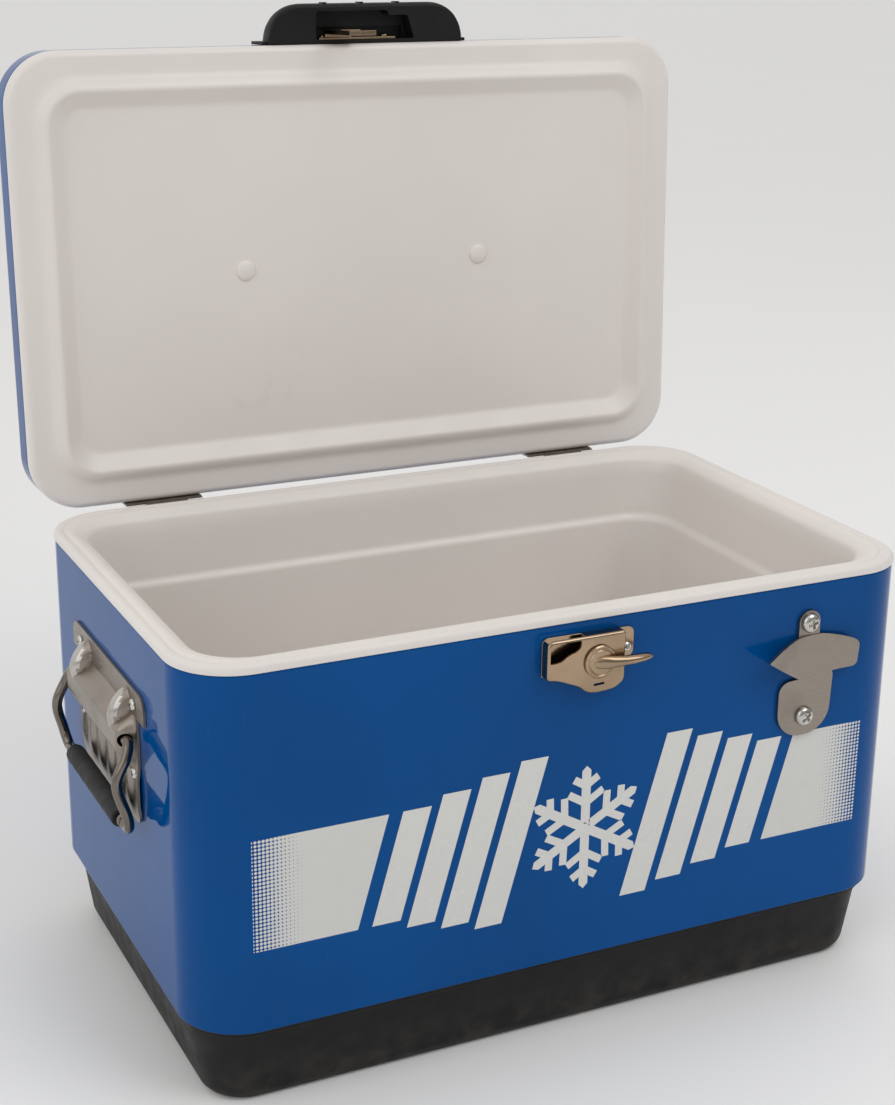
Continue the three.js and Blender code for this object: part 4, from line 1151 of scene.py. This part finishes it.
def swept_rod(points, radius):
    """A round rod along a line of (y, out, z) points, with its far half mirrored."""
    half = smooth_path([(END + out, y, z) for y, out, z in points])
    line = [Vector((p.x, -p.y, p.z)) for p in reversed(half)] + half
    curve = bpy.data.curves.new("rod", "CURVE")
    curve.dimensions = "3D"
    spline = curve.splines.new("POLY")
    spline.points.add(len(line) - 1)
    for point, place in zip(spline.points, line):
        point.co = (*place, 1)
    curve.bevel_depth = radius
    curve.bevel_resolution = 6
    curve.use_fill_caps = True
    holder = bpy.data.objects.new("rod", curve)
    bpy.context.scene.collection.objects.link(holder)
    graph = bpy.context.evaluated_depsgraph_get()
    mesh = bpy.data.meshes.new_from_object(holder.evaluated_get(graph))
    bm = bmesh.new()
    bm.from_mesh(mesh)
    bpy.data.objects.remove(holder)
    bpy.data.curves.remove(curve)
    bpy.data.meshes.remove(mesh)
    bmesh.ops.remove_doubles(bm, verts=bm.verts, dist=0.01)
    bmesh.ops.recalc_face_normals(bm, faces=bm.faces)
    return bm


def build_handles():
    """Both carrying handles: pressed plate, bent rod with crimps, foam grip and four screws."""
    steel = brushed("brushed handle steel", (1, 0.02, 1))
    # The rod's steel tint is cut to 0.62 of the stainless as a painted reflection: the darkening stands in
    # for dark surroundings the polished rod would mirror.
    rod_steel_darkened_as_painted_reflection = plated("drawn rod steel", shade(colours().steel, 0.62), "stainless", (0.07, 0.16),
                   (1, 0.03, 1))
    polish = plated("polished boss", (0.50, 0.475, 0.45), "stainless", (0.07, 0.16))
    chrome = plated("handle screw chrome", (0.66, 0.64, 0.61), "stainless", (0.1, 0.22))
    rubber = foam_rubber("grip foam")
    for side in ("right", "left"):
        place = of_left_end if side == "left" else (lambda bm: bm)
        plate = handle_plate()
        made = piece(place(plate), f"{side}_carry_plate", "chest", steel, f"{side}_handle_plate",
                     bevel=0.35, sharp=60)
        made.data.materials.append(polish[0])
        for face in made.data.polygons:
            if boss_share(face.center.y / MM, face.center.z / MM) > 0.1:
                face.material_index = 1
        bail = swept_rod(bail_points(), 4)
        collar = [(4.0, 0), (4.9, 0.4), (4.9, 5.6), (4.0, 6), (3.6, 6), (3.6, 0), (4.0, 0)]
        for hand in (-1, 1):
            crimp = moved(spun(collar, 32), Matrix.Rotation(math.pi / 2, 4, "X"))
            reach = hand * (GRIP_LENGTH / 2 + 4.5) + 3
            moved(crimp, Matrix.Translation((END + CROSSBAR_OUT, reach, CROSSBAR_Z)))
            bail = gathered(bail, crimp)
        piece(place(bail), f"{side}_bail_rod", f"{side}_bail", rod_steel_darkened_as_painted_reflection, f"{side}_bail")
        half = GRIP_LENGTH / 2
        grip = [(4.2, -half), (6.6, -half), (7.3, -half + 0.8), (7.5, -half + 2.2)]
        for step in range(1, 24):
            along = -half + 2.2 + step / 24 * (GRIP_LENGTH - 4.4)
            grip.append((7.5 + 0.12 * math.sin(step * 1.7), along))
        grip += [(7.5, half - 2.2), (7.3, half - 0.8), (6.6, half), (4.2, half), (4.2, -half)]
        sleeve = moved(spun(grip, 40), Matrix.Rotation(math.pi / 2, 4, "X"))
        moved(sleeve, Matrix.Translation((END + CROSSBAR_OUT, 0, CROSSBAR_Z)))
        piece(place(sleeve), f"{side}_foam_grip", f"{side}_bail", rubber, f"{side}_grip")
        for number in range(1, 5):
            node = f"right_handle_screw_{number}"
            at = seat_of(node, "+x") - Vector((3, 0, 0))
            screw(f"{side}_plate_screw_{number}", "chest", at, "+x", 4.6, 2.6, chrome,
                  f"{side}_handle_screw_{number}", number * 23, left=side == "left")


# ---------------------------------------------------------------- hinges


def refined(node, soft, lid=False):
    """A frame node's own shape, merged and cleaned, in millimetres."""
    bm = bmesh.new()
    bm.from_mesh(frame["nodes"][node].data)
    bmesh.ops.scale(bm, vec=(1 / MM,) * 3, verts=bm.verts)
    bmesh.ops.remove_doubles(bm, verts=bm.verts, dist=0.01)
    bmesh.ops.dissolve_limit(bm, angle_limit=math.radians(1), verts=bm.verts, edges=bm.edges)
    return bm


def build_hinges():
    """Two three-knuckle butt hinges with their pins and screws."""
    steel = aged_steel("hinge steel")
    for side in ("left", "right"):
        for leaf, body in (("body_leaf", "chest"), ("lid_leaf", "lid"), ("pin", "chest")):
            node = f"{side}_hinge_{leaf}"
            piece(refined(node, 0.3), f"{side}_butt_{leaf}", body, steel, node, bevel=0.3, sharp=35)
        for leaf, body in (("body", "chest"), ("lid", "lid")):
            for hand in ("left", "right"):
                node = f"{side}_hinge_{leaf}_screw_{hand}"
                low, high = span(node)
                if leaf == "body":
                    at = Vector(((low.x + high.x) / 2, high.y - 2, (low.z + high.z) / 2))
                else:
                    centre = (low + high) / 2
                    back = Matrix.Rotation(-OPEN_ANGLE, 3, "X")
                    closed = HINGE_AT + back @ (centre - HINGE_AT)
                    at = Vector((closed.x, LID_BACK + 2.2, closed.z))
                screw(f"{side}_butt_{leaf}_screw_{hand}", body, at, "+y", 3.5, 2.1, steel, node,
                      35 if hand == "left" else 70, lid=leaf == "lid")


# ---------------------------------------------------------------- lid handle and strike


def build_lid_handle():
    """The moulded handle on the lid's front edge, its three ribs, and the plated strike."""
    low = SKIN_BOTTOM - 4
    tall = 30
    reach = 32
    middle = 7.5
    root = LID_FRONT - GAP
    # Height in shares of 36 and reach, from the underside over the rounded nose to the top.
    profile = [(0, reach - 3.4), (0.9, reach - 1.8), (3, reach - 0.6), (7, reach), (11, reach - 0.2),
               (15.5, reach - 1), (20, reach - 3), (24, reach - 6), (28, reach - 10.4),
               (31.5, reach - 15), (34, reach - 19), (35.4, reach - 21.5), (36, reach - 23.4)]
    bm = bmesh.new()
    rings = []
    for share, out in profile:
        height = share * tall / 36
        shy = (reach - out) * 0.45
        nose, side = 56 - shy, 87 - shy * 0.8
        arc = []
        for step in range(15):
            turn = step / 14 * math.pi / 2
            arc.append((nose + (side - nose) * math.cos(turn) ** 0.9, out * math.sin(turn) ** 0.85))
        points = [(middle + px, root - py) for px, py in arc]
        points += [(middle - px, root - py) for px, py in reversed(arc)]
        loop = [bm.verts.new((px, py, low + height)) for px, py in points]
        rings.append([bm.edges.new(pair) for pair in zip(loop, loop[1:] + loop[:1])])
    for lower, upper in zip(rings, rings[1:]):
        bmesh.ops.bridge_loops(bm, edges=lower + upper)
    for edges in (rings[0], rings[-1]):
        bmesh.ops.contextual_create(bm, geom=edges)
    bmesh.ops.recalc_face_normals(bm, faces=bm.faces)
    foot = block((middle - 91, root - 2.5, low + 4), (middle + 91, root, low + tall))
    ribs = []
    for x in (-28.5, 4, 36.5):
        ribs.append(block((x - 1.5, root - reach - 0.8, low + 3.5), (x + 1.5, root - reach + 5, low + 13)))
    body = carved(bm, foot, *ribs, operation="UNION")
    hollow = moved(
        slab([(-38, root - reach + 6, 3), (26, root - reach + 6, 2), (27, root - reach + 10, 1),
              (44, root - reach + 10, 2), (50, root - 3, 2), (-38, root - 3, 2)], 15, 5),
        Matrix.Translation((0, 0, low - 1)))
    seat = block((-38, root - 13, low + 8), (44, root - 3, low + 17.6))
    body = carved(body, hollow, seat)
    piece(of_lid(body), "lid_grip", "lid", moulded_black("satin black handle", 1900, False),
          "lid_handle", bevel=0.5, sharp=38)

    nickel = plated("strike nickel", colours().nickel, "nickel")
    piece(refined("lid_strike", 0.4), "strike_hook", "lid", nickel, "lid_strike", bevel=0.5, sharp=38)
    for hand, x in (("left", -28.5), ("right", 27)):
        node = f"lid_handle_screw_{hand}"
        face = LID_FRONT - GAP - 3 - GAP - 1.5 - GAP
        at = Vector((x, face, SKIN_BOTTOM + 7))
        screw(f"strike_screw_{hand}", "lid", at, "-y", 3.5, 2.1, nickel, node, 40, lid=True)


# ---------------------------------------------------------------- drain


def build_drain():
    """Drain spout, its seals and the ribbed screw cap on the right-hand end."""
    black = moulded_black("drain moulding", 1900, False)
    rubber = foam_rubber("drain seal")
    spout_low, spout_high = span("drain_spout")
    gasket_low, gasket_high = span("drain_gasket")
    washer_low, washer_high = span("drain_washer")
    cap_low, cap_high = span("drain_cap")
    flange = gasket_high.x + GAP

    def turned(profile, steps=40):
        return moved(spun([(radius, along) for radius, along in profile], steps),
                     facing("+x", (0, 0, DRAIN_Z)))

    spout = [(4.5, spout_low.x), (6.5, spout_low.x), (6.5, flange), (11.2, flange), (12, flange + 0.7),
             (12, flange + 1.9), (11.4, flange + 2.5), (6.5, flange + 2.5), (6.5, spout_high.x - 0.5),
             (6.1, spout_high.x), (4.5, spout_high.x), (4.5, spout_low.x)]
    piece(turned(spout), "drain_tube", "chest", black, "drain_spout")
    gasket = [(6.8, gasket_low.x), (11.6, gasket_low.x), (12, gasket_low.x + 0.75),
              (11.6, gasket_high.x), (6.8, gasket_high.x), (6.8, gasket_low.x)]
    piece(turned(gasket), "drain_seal", "chest", rubber, "drain_gasket")
    washer = [(0, washer_low.x), (6.2, washer_low.x), (6.5, washer_low.x + 0.7), (6.2, washer_high.x),
              (0, washer_high.x)]
    piece(turned(washer), "cap_washer", "drain_washer", rubber, "drain_washer")
    start, finish = cap_low.x, cap_high.x
    inner = washer_high.x + 0.6
    cap = [(7.1, start), (10.6, start), (11, start + 0.5), (11, finish - 2.2), (10.2, finish - 0.7),
           (8.8, finish), (5, finish), (4.2, finish - 0.8), (0, finish - 0.8)]
    cap = [(0, inner), (7.1, inner), *cap]
    body = turned(cap, 64)
    grips = []
    for i in range(16):
        turn = i * math.pi / 8
        grip = spun([(0, start + 0.4), (0.9, start + 0.4), (1, start + 1), (1, finish - 2.8),
                     (0.5, finish - 1.8), (0, finish - 1.8)], 12)
        at = (0, 11 * math.cos(turn), DRAIN_Z + 11 * math.sin(turn))
        grips.append(moved(grip, facing("+x", at)))
    piece(carved(body, *grips, operation="UNION"), "drain_screw_cap", "drain_cap", black, "drain_cap",
          bevel=0.15, bevel_steps=2)


# ---------------------------------------------------------------- carried-over foam


def finish_foam():
    """Gives the hidden foam cores their finish."""
    material, _ = insulation("foam core")
    for node in ("body_foam", "lid_foam"):
        data = frame["nodes"][node].data
        data.materials.clear()
        data.materials.append(material)


# ---------------------------------------------------------------- stage


def build_stage():
    """Pale floor, white surroundings, one big soft light and the camera."""
    settings = bpy.context.scene.chest_stage
    bm = bmesh.new()
    bmesh.ops.create_grid(bm, x_segments=1, y_segments=1, size=1)
    bmesh.ops.scale(bm, vec=(60, 60, 1), verts=bm.verts)
    floor = as_object(bm, "floor")
    n = Nodes("pale floor")
    tint = settings.floor
    n.surface(base_color=n.mix(n.noise(2, 2), shade(tint, 0.99), shade(tint, 1.01)), roughness=0.7)
    floor.data.materials.append(n.material)

    world = bpy.data.worlds.new("white room")
    world.use_nodes = True
    sky = world.node_tree
    light = sky.nodes["Background"]
    # The room is brighter behind, above and to the left than in front.
    toward = sky.nodes.new("ShaderNodeTexCoord")
    lean = sky.nodes.new("ShaderNodeVectorMath")
    lean.operation = "DOT_PRODUCT"
    lean.inputs[1].default_value = Vector((-0.45, 0.55, 0.7)).normalized()
    fade = sky.nodes.new("ShaderNodeMapRange")
    fade.inputs["From Min"].default_value = -0.7
    fade.inputs["From Max"].default_value = 0.8
    fade.inputs["To Min"].default_value = settings.surround * 0.3
    fade.inputs["To Max"].default_value = settings.surround * 1.3
    sky.links.new(toward.outputs["Generated"], lean.inputs[0])
    sky.links.new(lean.outputs["Value"], fade.inputs["Value"])
    sky.links.new(fade.outputs["Result"], light.inputs["Strength"])
    light.inputs["Color"].default_value = (1.0, 0.99, 0.975, 1)
    bpy.context.scene.world = world
    bpy.context.scene.view_settings.view_transform = "Standard"

    lights = [
        ("key", (1.0, -1.6, 2.6), settings.key_power, 1.8),
        ("fill", (-2.4, -1.0, 1.6), settings.key_power * 0.4, 2.2),
    ]
    for name, at, power, wide in lights:
        lamp = bpy.data.lights.new(name, "AREA")
        lamp.energy = power
        lamp.size = wide
        holder = bpy.data.objects.new(name, lamp)
        holder.location = at
        aim = Vector((0, 0, 0.25)) - Vector(at)
        holder.rotation_euler = aim.to_track_quat("-Z", "Y").to_euler()
        bpy.context.scene.collection.objects.link(holder)

    lens = bpy.data.cameras.new("camera")
    lens.lens = 63.95
    lens.sensor_width = 36
    lens.clip_start = 0.05
    camera = bpy.data.objects.new("camera", lens)
    yaw, pitch, roll = 0.4482, -0.32565, 0.01124
    look = Vector((math.sin(yaw) * math.cos(pitch), math.cos(yaw) * math.cos(pitch), math.sin(pitch)))
    level = look.cross(Vector((0, 0, 1))).normalized()
    upright = level.cross(look)
    right = math.cos(roll) * level + math.sin(roll) * upright
    above = -math.sin(roll) * level + math.cos(roll) * upright
    turned = Matrix((right, above, -look)).transposed().to_4x4()
    camera.matrix_world = Matrix.Translation(Vector((-653.55, -1319.59, 827.35)) * MM) @ turned
    bpy.context.scene.collection.objects.link(camera)
    bpy.context.scene.camera = camera


# ---------------------------------------------------------------- operators and panel


def make_operator(idname, label, doc, build):
    """An operator that builds one piece or group, in the steps' order."""

    def execute(self, context):
        build()
        return {"FINISHED"}

    members = {
        "bl_idname": idname, "bl_label": label, "__doc__": doc, "execute": execute,
        "bl_options": {"REGISTER", "UNDO"},
    }
    return type("CHEST_OT_" + idname.split(".")[1], (bpy.types.Operator,), members)


OPERATORS = [
    make_operator("chest.belt", "Steel belt", "Builds the enamelled steel belt", build_jacket),
    make_operator("chest.base", "Base", "Builds the moulded base", build_base),
    make_operator("chest.tub", "Tub", "Builds the moulded tub and rim", build_tub),
    make_operator("chest.print", "Print", "Adds the band's snow crystal and bars", build_motif),
    make_operator("chest.lid_skin", "Lid skin", "Builds the lid's steel skin", build_lid_skin),
    make_operator("chest.lid_liner", "Lid liner", "Builds the lid's liner and plugs", build_lid_liner),
    make_operator("chest.hinges", "Hinges", "Builds both hinges", build_hinges),
    make_operator("chest.latch", "Latch", "Builds the turn latch", build_latch),
    make_operator("chest.opener", "Bottle opener", "Builds the bottle opener", build_opener),
    make_operator("chest.handles", "Carrying handles", "Builds both carrying handles", build_handles),
    make_operator("chest.lid_handle", "Lid handle", "Builds the lid's handle and strike", build_lid_handle),
    make_operator("chest.drain", "Drain", "Builds the drain and its cap", build_drain),
    make_operator("chest.foam", "Foam cores", "Finishes the foam cores", finish_foam),
    make_operator("chest.stage", "Stage", "Builds the floor, lights and camera", build_stage),
]


class CHEST_PT_panel(bpy.types.Panel):
    """Sizes, colours and build steps of the ice chest."""

    bl_label = "Ice chest"
    bl_idname = "CHEST_PT_panel"
    bl_space_type = "VIEW_3D"
    bl_region_type = "UI"
    bl_category = "Ice chest"

    def draw(self, context):
        scene = context.scene
        for group in (scene.chest_sizes, scene.chest_colours, scene.chest_stage):
            column = self.layout.column()
            for name in group.__annotations__:
                column.prop(group, name)
        for operator in OPERATORS:
            self.layout.operator(operator.bl_idname)


GROUPS = [
    ("chest_sizes", ChestSizes), ("chest_colours", ChestColours), ("chest_stage", StageSettings)
]


def register():
    for name, group in GROUPS:
        bpy.utils.register_class(group)
        setattr(bpy.types.Scene, name, bpy.props.PointerProperty(type=group))
    for made in [*OPERATORS, CHEST_PT_panel]:
        bpy.utils.register_class(made)


def unregister():
    for made in reversed([*OPERATORS, CHEST_PT_panel]):
        bpy.utils.unregister_class(made)
    for name, group in reversed(GROUPS):
        delattr(bpy.types.Scene, name)
        bpy.utils.unregister_class(group)


def main():
    register()
    for operator in OPERATORS:
        group, step = operator.bl_idname.split(".")
        getattr(getattr(bpy.ops, group), step)()


if __name__ == "__main__":
    main()
